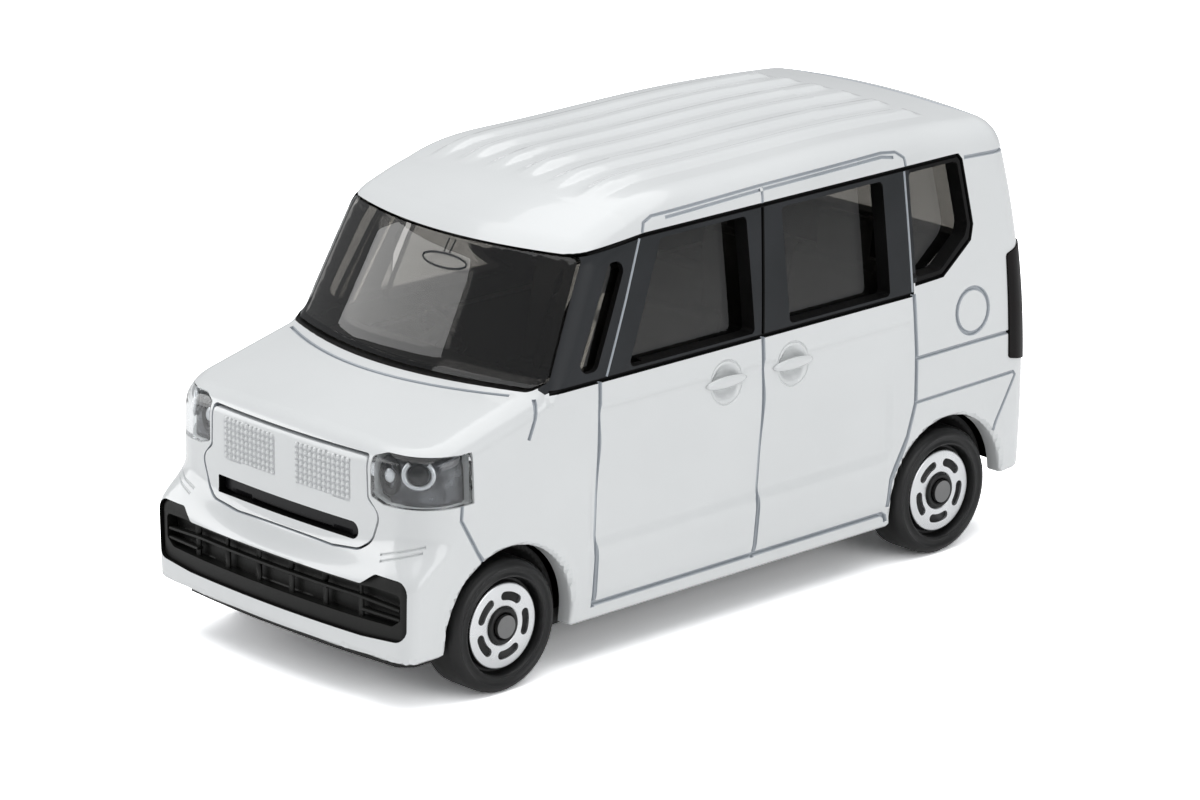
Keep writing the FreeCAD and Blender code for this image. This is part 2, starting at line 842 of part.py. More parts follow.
def roof_ribs():
    """Long low ribs pressed into the roof, each following the roof's line at its own place."""
    ribs = []
    for number in range(int(d.rib_count)):
        across = (number - (d.rib_count - 1) / 2) * d.rib_pitch
        start = across - d.rib_width / 2
        over = prism(top_line(start, across / side_out), V(d.rib_width, 0, 0))
        under = over.copy()
        over.translate(V(0, 0, d.rib_rise))
        under.translate(V(0, 0, -d.wall / 2))
        room = Part.makeBox(
            d.rib_width, d.rib_rear - d.rib_front, d.body_height, V(start, d.rib_front, d.glass_top))
        ribs.append(over.cut(under).common(room))
    return ribs


def handle_places():
    """Where the two door handles of one side have their middles, along the van."""
    reach = d.handle_gap + d.handle_length / 2
    return d.middle_seam_top - reach, d.middle_seam_top + d.groove_width + reach


def handle_bowls():
    """The round hollows behind the left door handles."""
    ball = (d.bowl_radius ** 2 + d.bowl_depth ** 2) / (2 * d.bowl_depth)
    side = d.half_width * LEVEL_SHARES[2][1]
    bowls = [
        Part.makeSphere(ball, V(side + ball - d.bowl_depth, place, d.handle_height))
        for place in handle_places()
    ]
    return bowls[0].fuse(bowls[1])


def door_handles():
    """The left door handles: a straight bar across each bowl."""
    bars = []
    for place in handle_places():
        near = place - d.handle_length / 2
        far = place + d.handle_length / 2
        low = d.handle_height - d.handle_width / 2
        high = d.handle_height + d.handle_width / 2
        outline = rounded_outline(
            seen_from_side(((near, low), (far, low), (far, high), (near, high))),
            [d.handle_width / 3] * 4)
        bars.append(side_prism(outline, d.half_width - d.wall, d.half_width + d.handle_rise))
    return bars[0].fuse(bars[1])


def rivet_posts():
    """The two posts inside, each with the rivet that holds the base plate."""
    plate_top = d.plate_bottom + d.plate_thickness
    posts = None
    for place in (d.front_post_setback - d.half_length, d.half_length - d.rear_post_setback):
        post = Part.makeCylinder(
            d.post_radius, d.glass_foot - d.glass_gap - plate_top, V(0, place, plate_top))
        stem = Part.makeCylinder(
            d.rivet_radius, plate_top - d.plate_bottom + d.wall,
            V(0, place, d.plate_bottom + d.glass_gap))
        head = Part.makeCone(
            d.rivet_head_radius, d.rivet_radius, d.rivet_head_height,
            V(0, place, d.plate_bottom + d.glass_gap))
        post = post.common(body_form(d.wall / 2)).fuse([stem, head])
        posts = post if posts is None else posts.fuse(post)
    return posts


def body_shell():
    """The painted zinc casting."""
    shell = outer.cut(inner)
    for tool in (
            lower_edge_tool(), arch_tool(), windows_tool(0), screen_tool(0), rear_window_tool(0),
            window_band(), groove_tool(), panel_region(0).cut(body_form(d.panel_depth)),
            slot_region(0), mouth_region(0)):
        shell = shell.cut(tool)
    shell = shell.cut(both_sides(lamp_region(0)))
    shell = shell.cut(both_sides(tail_region(0)).cut(body_form(d.tail_depth)))
    shell = shell.cut(both_sides(handle_bowls()))
    return shell.fuse([rivet_posts(), both_sides(door_handles()), *roof_ribs()])


solid_piece("body_shell", body_shell())

# The smoked window moulding: a liner inside the cabin with panes standing in the openings


def window_unit():
    """One clear moulding: inner liner, flush windscreen and sunk side panes."""
    face_inset = d.wall + d.glass_gap
    back_inset = face_inset + d.glass_thickness
    hollow = body_form(back_inset)
    liner = body_form(face_inset).cut(hollow)
    keep = Part.makeBox(
        2 * side_out, d.half_length + rear_out, d.drip_height + d.glass_gap - d.glass_foot,
        V(-side_out, d.screen_liner_front, d.glass_foot))
    liner = liner.common(keep)
    sunk = rounded_form(d.glass_recess)
    panes = windows_tool(-d.glass_gap).fuse(rear_window_tool(-d.glass_gap)).common(sunk)
    screen = screen_tool(-d.glass_gap).common(rounded_form(d.screen_recess))
    return liner.fuse([panes.cut(hollow), screen.cut(hollow)])


solid_piece("window_unit", window_unit())

# Lamps and grilles


def headlamp_lens():
    """The clear front of the left headlamp, wrapped round the corner."""
    return lamp_region(-d.lamp_gap).common(outer).cut(body_form(d.lamp_depth))


def headlamp_inner():
    """The dark block behind the left headlamp lens."""
    block = lamp_region(-d.lamp_gap).common(body_form(d.lamp_depth + d.lamp_gap))
    return block.cut(body_form(d.lamp_depth + d.lamp_gap + d.lamp_back_thickness))


def tail_lamp():
    """The upright tail lamp in the left rear corner, standing a little proud."""
    block = tail_region(-d.lamp_gap).common(body_form(-d.tail_rise, plain=False))
    return block.cut(body_form(d.tail_depth - d.lamp_gap))


def grille_panel():
    """The body-coloured panel between the lamps, with the air slot cut through."""
    plate = panel_region(-d.panel_gap).common(outer)
    plate = plate.cut(body_form(d.panel_depth - d.lamp_gap))
    return plate.cut(slot_region(0)).cut(both_sides(lamp_region(0)))


def intake_bar():
    """The black bar that closes the air slot from behind."""
    return slot_region(-d.lamp_gap, d.nose_place + d.slot_sink, d.nose_place + d.wall)


def lower_grille():
    """The black lattice in the lower intake: a backing plate, level bars and uprights."""
    region = mouth_region(-d.panel_gap)
    back = region.common(body_form(d.mouth_back_depth)).cut(
        body_form(d.mouth_back_depth + d.mouth_back_thickness))
    frame = region.cut(mouth_region(-d.panel_gap - d.mouth_frame))
    bars = frame
    for height in (d.mouth_bar_low, d.mouth_bar_high):
        bars = bars.fuse(Part.makeBox(
            2 * side_out, rear_out, d.mouth_bar, V(-side_out, -rear_out, height)))
    for number in range(int(d.mouth_upright_count)):
        across = (number - (d.mouth_upright_count - 1) / 2) * d.mouth_upright_pitch
        bars = bars.fuse(Part.makeBox(
            d.mouth_bar, rear_out, d.mouth_top - d.mouth_bottom,
            V(across - d.mouth_bar / 2, -rear_out, d.mouth_bottom)))
    lattice = region.common(bars).common(body_form(d.mouth_sink)).cut(
        body_form(d.mouth_back_depth + d.mouth_back_thickness))
    return back.fuse(lattice)


lens = headlamp_lens()
lamp_back = headlamp_inner()
tail = tail_lamp()
for side, turned in (("left", lambda shape: shape), ("right", mirrored)):
    solid_piece(f"headlamp_lens_{side}", turned(lens))
    solid_piece(f"headlamp_inner_{side}", turned(lamp_back))
    solid_piece(f"tail_lamp_{side}", turned(tail))
solid_piece("grille_panel", grille_panel())
solid_piece("intake_bar", intake_bar())
solid_piece("lower_grille", lower_grille())


# Primitives whose sizes and places are read from the sheet

def bound_box(name, corner, size):
    """A box with its corner and size tied to the sheet."""
    box = doc.addObject("Part::Box", name)
    for prop, text in zip(("Length", "Width", "Height"), size):
        box.setExpression(prop, tied(text))
    for axis, text in zip("xyz", corner):
        box.setExpression(f"Placement.Base.{axis}", tied(text))
    return box


def bound_bar(name, start, radius, length):
    """A round bar across the van with its start, radius and length tied to the sheet."""
    bar = doc.addObject("Part::Cylinder", name)
    bar.Placement = FreeCAD.Placement(V(), FreeCAD.Rotation(V(0, 1, 0), 90))
    bar.setExpression("Radius", tied(radius))
    bar.setExpression("Height", tied(length))
    for axis, text in zip("xyz", start):
        bar.setExpression(f"Placement.Base.{axis}", tied(text))
    return bar


def bound_post(name, start, radius, length):
    """An upright round bar with its foot, radius and length tied to the sheet."""
    bar = doc.addObject("Part::Cylinder", name)
    bar.setExpression("Radius", tied(radius))
    bar.setExpression("Height", tied(length))
    for axis, text in zip("xyz", start):
        bar.setExpression(f"Placement.Base.{axis}", tied(text))
    return bar


def joined(name, shapes):
    """Several shapes made one."""
    fuse = doc.addObject("Part::MultiFuse", name)
    fuse.Shapes = shapes
    return fuse


def carved(name, base, tool):
    """One shape less another."""
    cut = doc.addObject("Part::Cut", name)
    cut.Base = base
    cut.Tool = tool
    return cut


# The base plate: a flat floor, wheel housings and the cradles that hold the axles

plate_floor = bound_box(
    "plate_floor", (f"-{PLATE_HALF}", "plate_front_setback - half_length", "plate_bottom"),
    (f"2 * {PLATE_HALF}", "2 * half_length - plate_front_setback - plate_rear_setback",
     "plate_thickness"))
plate_solids = [plate_floor]
plate_cuts = []
axle_places = (("front", FRONT_AXLE), ("rear", REAR_AXLE))
housing_reach = "arch_radius - well_gap + well_wall"
for end, place in axle_places:
    plate_solids.append(bound_bar(
        f"housings_{end}", (f"-{PLATE_HALF}", place, "tyre_radius"),
        housing_reach, f"2 * {PLATE_HALF}"))
plate_mass = joined("plate_mass", plate_solids)
for end, place in axle_places:
    for side, start in (("left", WELL_INNER), ("right", f"-{WELL_INNER} - wheel_room")):
        plate_cuts.append(bound_bar(
            f"wheel_room_{end}_{side}", (start, place, "tyre_radius"),
            "arch_radius - well_gap", "wheel_room"))
        plate_cuts.append(bound_box(
            f"wheel_mouth_{end}_{side}",
            (start, f"{place} - arch_radius + well_gap", "-tyre_radius"),
            ("wheel_room", "2 * (arch_radius - well_gap)", "2 * tyre_radius")))
    plate_cuts.append(bound_box(
        f"middle_room_{end}",
        (f"-{WELL_INNER} + well_wall", f"{place} - arch_radius - well_wall", "cradle_top"),
        (f"2 * ({WELL_INNER} - well_wall)", "2 * (arch_radius + well_wall)", "2 * arch_radius")))
    for number, shift in enumerate(("-arch_radius - well_wall", "cradle_half_width")):
        plate_cuts.append(bound_box(
            f"cradle_room_{end}_{number}",
            (f"-{WELL_INNER} + well_wall", f"{place} + {shift}", "plate_bottom + plate_thickness"),
            (f"2 * ({WELL_INNER} - well_wall)",
             "arch_radius + well_wall - cradle_half_width", "2 * arch_radius")))
    plate_cuts.append(bound_bar(
        f"axle_bore_{end}", ("-half_width", place, "tyre_radius"),
        "axle_radius + axle_play", "2 * half_width"))
    plate_cuts.append(bound_box(
        f"below_plate_{end}", ("-half_width", f"{place} - 2 * arch_radius", "-arch_radius"),
        ("2 * half_width", "4 * arch_radius", "arch_radius + plate_bottom")))
for end, place in (("front", FRONT_POST), ("rear", REAR_POST)):
    plate_cuts.append(bound_post(
        f"rivet_hole_{end}", ("0", place, "0"),
        "rivet_radius + glass_gap", "2 * plate_bottom"))
    plate_cuts.append(bound_post(
        f"rivet_well_{end}", ("0", place, "0"),
        "rivet_head_radius + glass_gap", "plate_bottom + rivet_head_height + glass_gap"))
plate_tools = joined("plate_tools", plate_cuts)
plate_blank = carved("plate_blank", plate_mass, plate_tools)
base_plate = doc.addObject("Part::Common", "base_plate")
base_plate.Base = plate_blank
base_plate.Tool = solid_piece("plate_space", body_form(d.wall + d.plate_gap))


# Axles: one steel pin each, with a flat head at both ends outside the wheels

for end, place in axle_places:
    pin = bound_bar(
        f"axle_pin_{end}", (f"-{AXLE_END}", place, "tyre_radius"),
        "axle_radius", f"2 * {AXLE_END}")
    heads = [
        bound_bar(f"axle_head_{end}_{side}", (start, place, "tyre_radius"),
                  "axle_head_radius", "axle_head_length")
        for side, start in (("left", AXLE_END), ("right", f"-{AXLE_END} - axle_head_length"))
    ]
    axle = joined(f"axle_{end}", [pin, *heads])
    axle.Label = f"axle_{end}"


# Wheels: one moulding each with its tyre wall, sunk ring and hub, and a bright stamped face

def origin_plane(body, role):
    """One of a body's own base planes."""
    return next(item for item in body.Origin.OriginFeatures if item.Role == role)


def turned_outline(body, name, corners):
    """A closed outline in the XZ plane, each corner held by two sums of sizes."""
    sketch = body.newObject("Sketcher::SketchObject", name)
    sketch.AttachmentSupport = [(origin_plane(body, "XZ_Plane"), "")]
    sketch.MapMode = "FlatFace"
    count = len(corners)
    start = []
    for number in range(count):
        turn = 2 * math.pi * number / count
        start.append(V(d.tyre_radius * (2 + math.cos(turn)), d.tyre_radius * math.sin(turn), 0))
    for number in range(count):
        sketch.addGeometry(Part.LineSegment(start[number], start[(number + 1) % count]))
    for number in range(count):
        sketch.addConstraint(Sketcher.Constraint("Coincident", number, 2, (number + 1) % count, 1))
    for number, (across, up) in enumerate(corners):
        for kind, text, value in (
                ("DistanceX", across, start[number].x), ("DistanceY", up, start[number].y)):
            held = sketch.addConstraint(Sketcher.Constraint(kind, -1, 1, number, 1, value))
            sketch.setExpression(f"Constraints[{held}]", tied(text))
    return sketch


WHEEL_CORNERS = (
    ("axle_radius + axle_play", "0"),
    ("tyre_radius", "0"),
    ("tyre_radius", "tyre_width - tyre_shoulder"),
    ("tyre_radius - tyre_shoulder", "tyre_width"),
    ("tyre_radius - tyre_wall", "tyre_width"),
    ("tyre_radius - tyre_wall", "tyre_width - annulus_depth"),
    ("face_radius + head_gap", "tyre_width - annulus_depth"),
    ("face_radius + head_gap", "tyre_width - face_depth - face_thickness"),
    ("hub_radius", "tyre_width - face_depth - face_thickness"),
    ("hub_radius", "tyre_width - hub_sink"),
    ("axle_radius + axle_play", "tyre_width - hub_sink"),
)

FACE_CORNERS = (
    ("hub_radius + axle_play", "tyre_width - face_depth - face_thickness"),
    ("face_radius", "tyre_width - face_depth - face_thickness"),
    ("face_radius", "tyre_width - face_depth"),
    ("hub_radius + axle_play", "tyre_width - face_depth"),
)


def turned_body(label, corners):
    """A round piece turned about its own upright axis."""
    body = doc.addObject("PartDesign::Body", label.replace("wheel", "turned"))
    body.Label = label
    sketch = turned_outline(body, f"outline_{label}", corners)
    turning = body.newObject("PartDesign::Revolution", f"turned_{label}")
    turning.Profile = sketch
    turning.ReferenceAxis = (sketch, ["V_Axis"])
    turning.Angle = 360
    turning.Midplane = False
    sketch.Visibility = False
    return body


def face_slots():
    """The curved slots of a wheel face, as one ring of cutters."""
    sectors = []
    for number in range(int(d.face_slot_count)):
        sector = doc.addObject("Part::Cylinder", f"slot_sector_{number}")
        turn = 360 * number / int(d.face_slot_count)
        sector.Placement = FreeCAD.Placement(V(), FreeCAD.Rotation(V(0, 0, 1), turn))
        sector.setExpression("Radius", tied("face_slot_place + face_slot_width / 2"))
        sector.setExpression("Height", tied("tyre_width"))
        sector.setExpression("Angle", tied("face_slot_sweep"))
        sectors.append(sector)
    middle = doc.addObject("Part::Cylinder", "slot_middle")
    middle.setExpression("Radius", tied("face_slot_place - face_slot_width / 2"))
    middle.setExpression("Height", tied("tyre_width"))
    return carved("face_slots", joined("slot_sectors", sectors), middle)


slots = face_slots()
for end, place in axle_places:
    for side, lean, start in (
            ("left", 90, f"{TYRE_OUTER} - tyre_width"),
            ("right", -90, f"tyre_width - {TYRE_OUTER}")):
        wheel = turned_body(f"wheel_{end}_{side}", WHEEL_CORNERS)
        disc = turned_body(f"wheel_disc_{end}_{side}", FACE_CORNERS)
        face = carved(f"wheel_face_{end}_{side}", disc, slots)
        for piece in (wheel, face):
            piece.Placement = FreeCAD.Placement(V(), FreeCAD.Rotation(V(0, 1, 0), lean))
            for axis, text in zip("xyz", (start, place, "tyre_radius")):
                piece.setExpression(f"Placement.Base.{axis}", tied(text))


# The seat moulding: a tub with a dashboard, two front seats and a rear bench

tub_floor = bound_box(
    "tub_floor", (f"-{TUB_HALF}", "tub_front", "tub_bottom"),
    (f"2 * {TUB_HALF}", "tub_rear - tub_front", "tub_height"))
tub_room = bound_box(
    "tub_room", (f"-{TUB_HALF} + tub_wall", "tub_front + tub_wall", "tub_bottom + tub_wall"),
    (f"2 * ({TUB_HALF} - tub_wall)", "tub_rear - tub_front - 2 * tub_wall", "tub_height"))
tub = carved("tub", tub_floor, tub_room)


def seat_outline(place):
    """A seat from the side: cushion with a dipped top and a leaning back."""
    foot = d.tub_bottom
    back = place + d.seat_length
    pairs = (
        (place, foot), (back, foot), (back + d.seat_lean, foot + d.seat_back_height),
        (back + d.seat_lean - d.seat_thickness, foot + d.seat_back_height),
        (back - d.seat_thickness, foot + d.seat_height - d.seat_dip), (place, foot + d.seat_height),
    )
    return rounded_outline(seen_from_side(pairs), [d.seat_corner_radius] * len(pairs))


def headrest_outline(place):
    """A headrest from the side, leaning as the seat's back does."""
    slope = d.seat_lean / d.seat_back_height
    back = place + d.seat_length + d.seat_lean - (d.seat_thickness - d.headrest_thickness) / 2
    low = d.seat_back_height - d.seat_corner_radius
    rise = slope * (d.headrest_height - low)
    front = back - d.headrest_thickness
    pairs = (
        (front, d.tub_bottom + low), (back, d.tub_bottom + low),
        (back + rise, d.tub_bottom + d.headrest_height),
        (front + rise, d.tub_bottom + d.headrest_height),
    )
    return rounded_outline(seen_from_side(pairs), [d.headrest_corner_radius] * len(pairs))


def seats():
    """Two front seats and two rear ones, each with its headrest."""
    shapes = []
    for place in (d.front_seat_place, d.rear_seat_place):
        seat = side_prism(seat_outline(place), d.seat_gap / 2, d.seat_gap / 2 + d.seat_width)
        middle = (d.seat_gap + d.seat_width) / 2
        rest = side_prism(
            headrest_outline(place), middle - d.headrest_width / 2, middle + d.headrest_width / 2)
        shapes.append(both_sides(seat.fuse(rest)))
    return shapes[0].fuse(shapes[1])


def dashboard():
    """The dashboard: a sloping block under the windscreen."""
    rear = d.tub_front + d.dash_length
    pairs = (
        (d.tub_front, d.tub_bottom), (rear - d.seat_lean, d.tub_bottom),
        (rear, d.tub_bottom + d.dash_height - d.seat_thickness),
        (rear - d.seat_thickness, d.tub_bottom + d.dash_height),
        (d.tub_front, d.tub_bottom + d.tub_height),
    )
    points = seen_from_side(pairs)
    return side_prism(
        Part.makePolygon(points + points[:1]), -d.tub_half_width, d.tub_half_width)


def steering_wheel():
    """The wheel on its leaning column, on the right as the driver sits there."""
    across = -(d.seat_gap + d.seat_width) / 2
    foot = V(across, d.tub_front + d.column_place, d.tub_bottom + d.dash_height - d.seat_thickness)
    lean = math.radians(d.column_lean)
    along = V(0, math.sin(lean), math.cos(lean))
    column = Part.makeCylinder(d.column_radius, d.column_length, foot, along)
    centre = foot + along * d.column_length
    rim = Part.makeCylinder(d.rim_radius, d.rim_thickness, centre, along)
    hole = Part.makeCylinder(d.rim_radius - d.rim_thickness, d.rim_thickness, centre, along)
    spoke = Part.makeBox(
        2 * d.rim_radius - d.rim_thickness, d.rim_thickness, d.rim_thickness,
        V(-d.rim_radius + d.rim_thickness / 2, -d.rim_thickness / 2, 0))
    spoke.Placement = FreeCAD.Placement(centre, FreeCAD.Rotation(V(0, 0, 1), along))
    return column.fuse([rim.cut(hole), spoke])


tub_mass = joined("tub_mass", [
    tub, solid_piece("seats", seats()), solid_piece("dashboard", dashboard()),
    solid_piece("steering_wheel", steering_wheel())])
seat_moulding = doc.addObject("Part::Common", "seat_moulding")
seat_moulding.Base = tub_mass
seat_moulding.Tool = solid_piece(
    "seat_space", body_form(d.wall + d.glass_gap + d.glass_thickness + d.plate_gap))

doc.recompute()

NODES = [
    "body_shell", "window_unit", "grille_panel", "intake_bar", "lower_grille",
    "headlamp_lens_left", "headlamp_lens_right", "headlamp_inner_left", "headlamp_inner_right",
    "tail_lamp_left", "tail_lamp_right", "seat_moulding", "base_plate", "axle_front", "axle_rear",
]
for end in ("front", "rear"):
    for side in ("left", "right"):
        NODES += [f"wheel_{end}_{side}", f"wheel_face_{end}_{side}"]


def check_document():
    """Stop if any object failed or any piece is empty or broken."""
    for item in doc.Objects:
        if {"Invalid", "Error"} & set(item.State):
            raise RuntimeError(f"{item.Label} failed: {item.State}")
    for label in NODES:
        shape = doc.getObjectsByLabel(label)[0].Shape
        if shape.isNull() or not shape.isValid() or not shape.Solids:
            raise RuntimeError(f"{label} has no sound solid")


check_document()
os.makedirs("parts", exist_ok=True)
for label in NODES:
    piece = doc.getObjectsByLabel(label)[0]
    shape = piece.Shape
    shape.exportStep(f"parts/{label}.step")
    box = shape.BoundBox
    print(label, len(shape.Solids), round(shape.Volume, 1),
          [round(v, 2) for v in (box.XMin, box.XMax, box.YMin, box.YMax, box.ZMin, box.ZMax)])
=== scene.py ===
"""The toy kei van dressed for its picture: painted zinc shell, smoked windows, clear lamps,
black intake, wheels with bright stamped faces, on a pale studio floor.

Lengths are written in millimetres, as on the maker's drawing, and become metres by MM.
"""
import bpy
import bmesh
import math
import numpy as np
from mathutils import Matrix, Quaternion, Vector


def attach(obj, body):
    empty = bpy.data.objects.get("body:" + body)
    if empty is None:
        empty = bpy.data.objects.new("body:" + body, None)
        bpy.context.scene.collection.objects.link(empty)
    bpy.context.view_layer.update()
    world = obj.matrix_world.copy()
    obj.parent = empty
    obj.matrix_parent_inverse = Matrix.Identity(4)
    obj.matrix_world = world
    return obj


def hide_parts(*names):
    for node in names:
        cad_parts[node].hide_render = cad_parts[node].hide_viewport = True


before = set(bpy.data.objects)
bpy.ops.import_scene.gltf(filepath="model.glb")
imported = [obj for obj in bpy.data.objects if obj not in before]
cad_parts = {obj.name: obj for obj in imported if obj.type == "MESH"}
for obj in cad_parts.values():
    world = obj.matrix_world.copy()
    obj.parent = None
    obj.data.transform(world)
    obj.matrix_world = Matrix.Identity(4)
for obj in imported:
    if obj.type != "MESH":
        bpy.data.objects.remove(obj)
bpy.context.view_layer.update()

# The studio: a pale seamless floor under broad soft lights, and the camera where the
# photographer stood, a long lens looking down on the van's left front corner.

MM = 0.001
TARGET = Vector((-0.507, -0.027, 12.720)) * MM
CAMERA_DISTANCE = 384.09 * MM
CAMERA_AROUND = math.radians(46.269)
CAMERA_ABOVE = math.radians(17.209)
CAMERA_ROLL = math.radians(0.231)
LENS_LENGTH = 167.73
SENSOR_WIDTH = 36.0
FLOOR_REACH = 1500.0


def facing(place, target, roll=0.0):
    """The turn that points a camera or a lamp from its place at a target."""
    turn = (place - target).to_track_quat("Z", "Y")
    return (turn @ Quaternion((0.0, 0.0, 1.0), roll)).to_euler()


towards_camera = Vector((
    math.sin(CAMERA_AROUND) * math.cos(CAMERA_ABOVE),
    -math.cos(CAMERA_AROUND) * math.cos(CAMERA_ABOVE),
    math.sin(CAMERA_ABOVE)))
camera = bpy.data.objects.new("studio_camera", bpy.data.cameras.new("studio_camera"))
camera.location = TARGET + towards_camera * CAMERA_DISTANCE
camera.rotation_euler = facing(camera.location, TARGET, CAMERA_ROLL)
camera.data.lens = LENS_LENGTH
camera.data.sensor_width = SENSOR_WIDTH
camera.data.clip_start = 0.01
bpy.context.scene.collection.objects.link(camera)
bpy.context.scene.camera = camera


def new_material(name):
    """An empty node material with its shader, and a way to add and join nodes."""
    material = bpy.data.materials.new(name)
    material.use_nodes = True
    return material, material.node_tree.nodes, material.node_tree.links


def piece_from(name, mesh, material=None):
    """An object at the origin that holds a finished mesh."""
    piece = bpy.data.objects.new(name, mesh)
    bpy.context.scene.collection.objects.link(piece)
    if material is not None:
        mesh.materials.clear()
        mesh.materials.append(material)
    return piece


def settle(piece, node=None, body="root"):
    """Hide the solid that a piece stands for, and hang the piece on the body that carries it."""
    if node:
        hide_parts(node)
    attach(piece, body)


def mesh_from(name, points, faces):
    """A mesh from points in millimetres and faces."""
    mesh = bpy.data.meshes.new(name)
    places = (np.asarray(points) * MM).tolist()
    mesh.from_pydata(places, [], [tuple(map(int, face)) for face in faces])
    mesh.update()
    return mesh


def put(node, values):
    """Set a node's inputs to given values."""
    for entry, value in values.items():
        node.inputs[entry].default_value = value


def wire(links, *joints):
    """Join nodes: from a node's output to another node's input, for each joint."""
    for source, output, target, entry in joints:
        links.new(source.outputs[output], target.inputs[entry])


def otherwise_to(nodes, links, ray, kind, colour):
    """Another plain shader in place of the material's own, for one kind of ray."""
    path, other = nodes.new("ShaderNodeLightPath"), nodes.new(kind)
    mixed = nodes.new("ShaderNodeMixShader")
    put(other, {"Color": (*colour, 1)})
    wire(links, (path, ray, mixed, "Fac"), (nodes["Principled BSDF"], "BSDF", mixed, 1),
         (other, "BSDF", mixed, 2), (mixed, "Shader", nodes["Material Output"], "Surface"))


floor_material, nodes, links = new_material("seamless_paper")
shader = nodes["Principled BSDF"]
put(shader, {"Roughness": 0.9, "Emission Strength": 0.05})
grain, tones = nodes.new("ShaderNodeTexNoise"), nodes.new("ShaderNodeValToRGB")
put(grain, {"Scale": 12.0})
tones.color_ramp.elements[0].color = (0.90, 0.90, 0.90, 1)
tones.color_ramp.elements[1].color = (0.93, 0.93, 0.93, 1)
wire(links, (grain, "Fac", tones, "Fac"), (tones, "Color", shader, "Base Color"),
     (tones, "Color", shader, "Emission Color"))
PAPER_SEEN = 2.6  # brighter to the camera than to the van, as in a cut-out picture
otherwise_to(nodes, links, "Is Camera Ray", "ShaderNodeBsdfDiffuse", (PAPER_SEEN,) * 3)
floor_corners = [
    (FLOOR_REACH * x, FLOOR_REACH * y, 0) for x, y in ((-1, -1), (1, -1), (1, 1), (-1, 1))]
floor_mesh = mesh_from("studio_floor", floor_corners, [range(4)])
floor = piece_from("studio_floor", floor_mesh, floor_material)

world = bpy.data.worlds.new("studio_room")
bpy.context.scene.world = world
world.use_nodes = True
put(world.node_tree.nodes["Background"], {"Color": (0.95, 0.97, 1.0, 1), "Strength": 0.42})
bpy.context.scene.view_settings.view_transform = "Standard"


def soft_light(name, place, aim, size, power):
    """An oblong soft box, aimed at a point of the van."""
    lamp = bpy.data.lights.new(name, "AREA")
    lamp.shape = "RECTANGLE"
    lamp.size, lamp.size_y = (side * MM for side in size)
    lamp.energy = power
    box = bpy.data.objects.new(name, lamp)
    box.location = Vector(place) * MM
    box.rotation_euler = facing(box.location, Vector(aim) * MM)
    bpy.context.scene.collection.objects.link(box)


soft_light("top_box", (0, 0, 260), (0, 0, 0), (360, 360), 0.60)
soft_light("front_box", (-330, -260, 130), (0, -10, 15), (260, 200), 0.44)
soft_light("side_box", (320, 30, 110), (0, 0, 15), (240, 140), 0.22)

# Surface effects that several finishes share: a faint mottling of tone and gloss, such as
# every sprayed, moulded or handled surface has, with a fine texture for the bump.


def surface_tone_group():
    """Node group: colour, roughness and fine height that vary over a surface."""
    tree = bpy.data.node_groups.new("surface_tone", "ShaderNodeTree")
    for name, kind, value in (
            ("Colour", "Color", (0.8, 0.8, 0.8, 1)), ("Other Colour", "Color", (0.7, 0.7, 0.7, 1)),
            ("Low Roughness", "Float", 0.3), ("High Roughness", "Float", 0.4),
            ("Patch Size", "Float", 200.0), ("Grain Size", "Float", 3000.0)):
        tree.interface.new_socket(
            name, in_out="INPUT", socket_type="NodeSocket" + kind).default_value = value
    for name, kind in (("Colour", "Color"), ("Roughness", "Float"), ("Height", "Float")):
        tree.interface.new_socket(name, in_out="OUTPUT", socket_type="NodeSocket" + kind)
    made = tree.nodes
    outside, result = made.new("NodeGroupInput"), made.new("NodeGroupOutput")
    place = made.new("ShaderNodeTexCoord")
    patches, grain = made.new("ShaderNodeTexNoise"), made.new("ShaderNodeTexNoise")
    put(patches, {"Detail": 3.0})
    put(grain, {"Detail": 2.0})
    spread = made.new("ShaderNodeMapRange")
    put(spread, {"From Min": 0.35, "From Max": 0.65})
    tint, gloss = made.new("ShaderNodeMix"), made.new("ShaderNodeMix")
    tint.data_type = "RGBA"
    wire(tree.links, (place, "Object", patches, "Vector"), (place, "Object", grain, "Vector"),
         (outside, "Patch Size", patches, "Scale"), (outside, "Grain Size", grain, "Scale"),
         (patches, "Fac", spread, "Value"), (spread, "Result", tint, "Factor"),
         (outside, "Colour", tint, "A"), (outside, "Other Colour", tint, "B"),
         (spread, "Result", gloss, "Factor"), (outside, "Low Roughness", gloss, "A"),
         (outside, "High Roughness", gloss, "B"), (tint, "Result", result, "Colour"),
         (gloss, "Result", result, "Roughness"), (grain, "Fac", result, "Height"))
    return tree


surface_tone = surface_tone_group()
GRAIN_HEIGHT = 0.05 * MM


def toned(nodes, links, shader, colour, other, roughness, patch, grain=3000.0):
    """The shared mottling, joined to a shader's colour and roughness."""
    tone = nodes.new("ShaderNodeGroup")
    tone.node_tree = surface_tone
    put(tone, {"Colour": (*colour, 1), "Other Colour": (*other, 1), "Low Roughness": roughness[0],
               "High Roughness": roughness[1], "Patch Size": patch, "Grain Size": grain})
    wire(links, (tone, "Colour", shader, "Base Color"), (tone, "Roughness", shader, "Roughness"))
    return tone


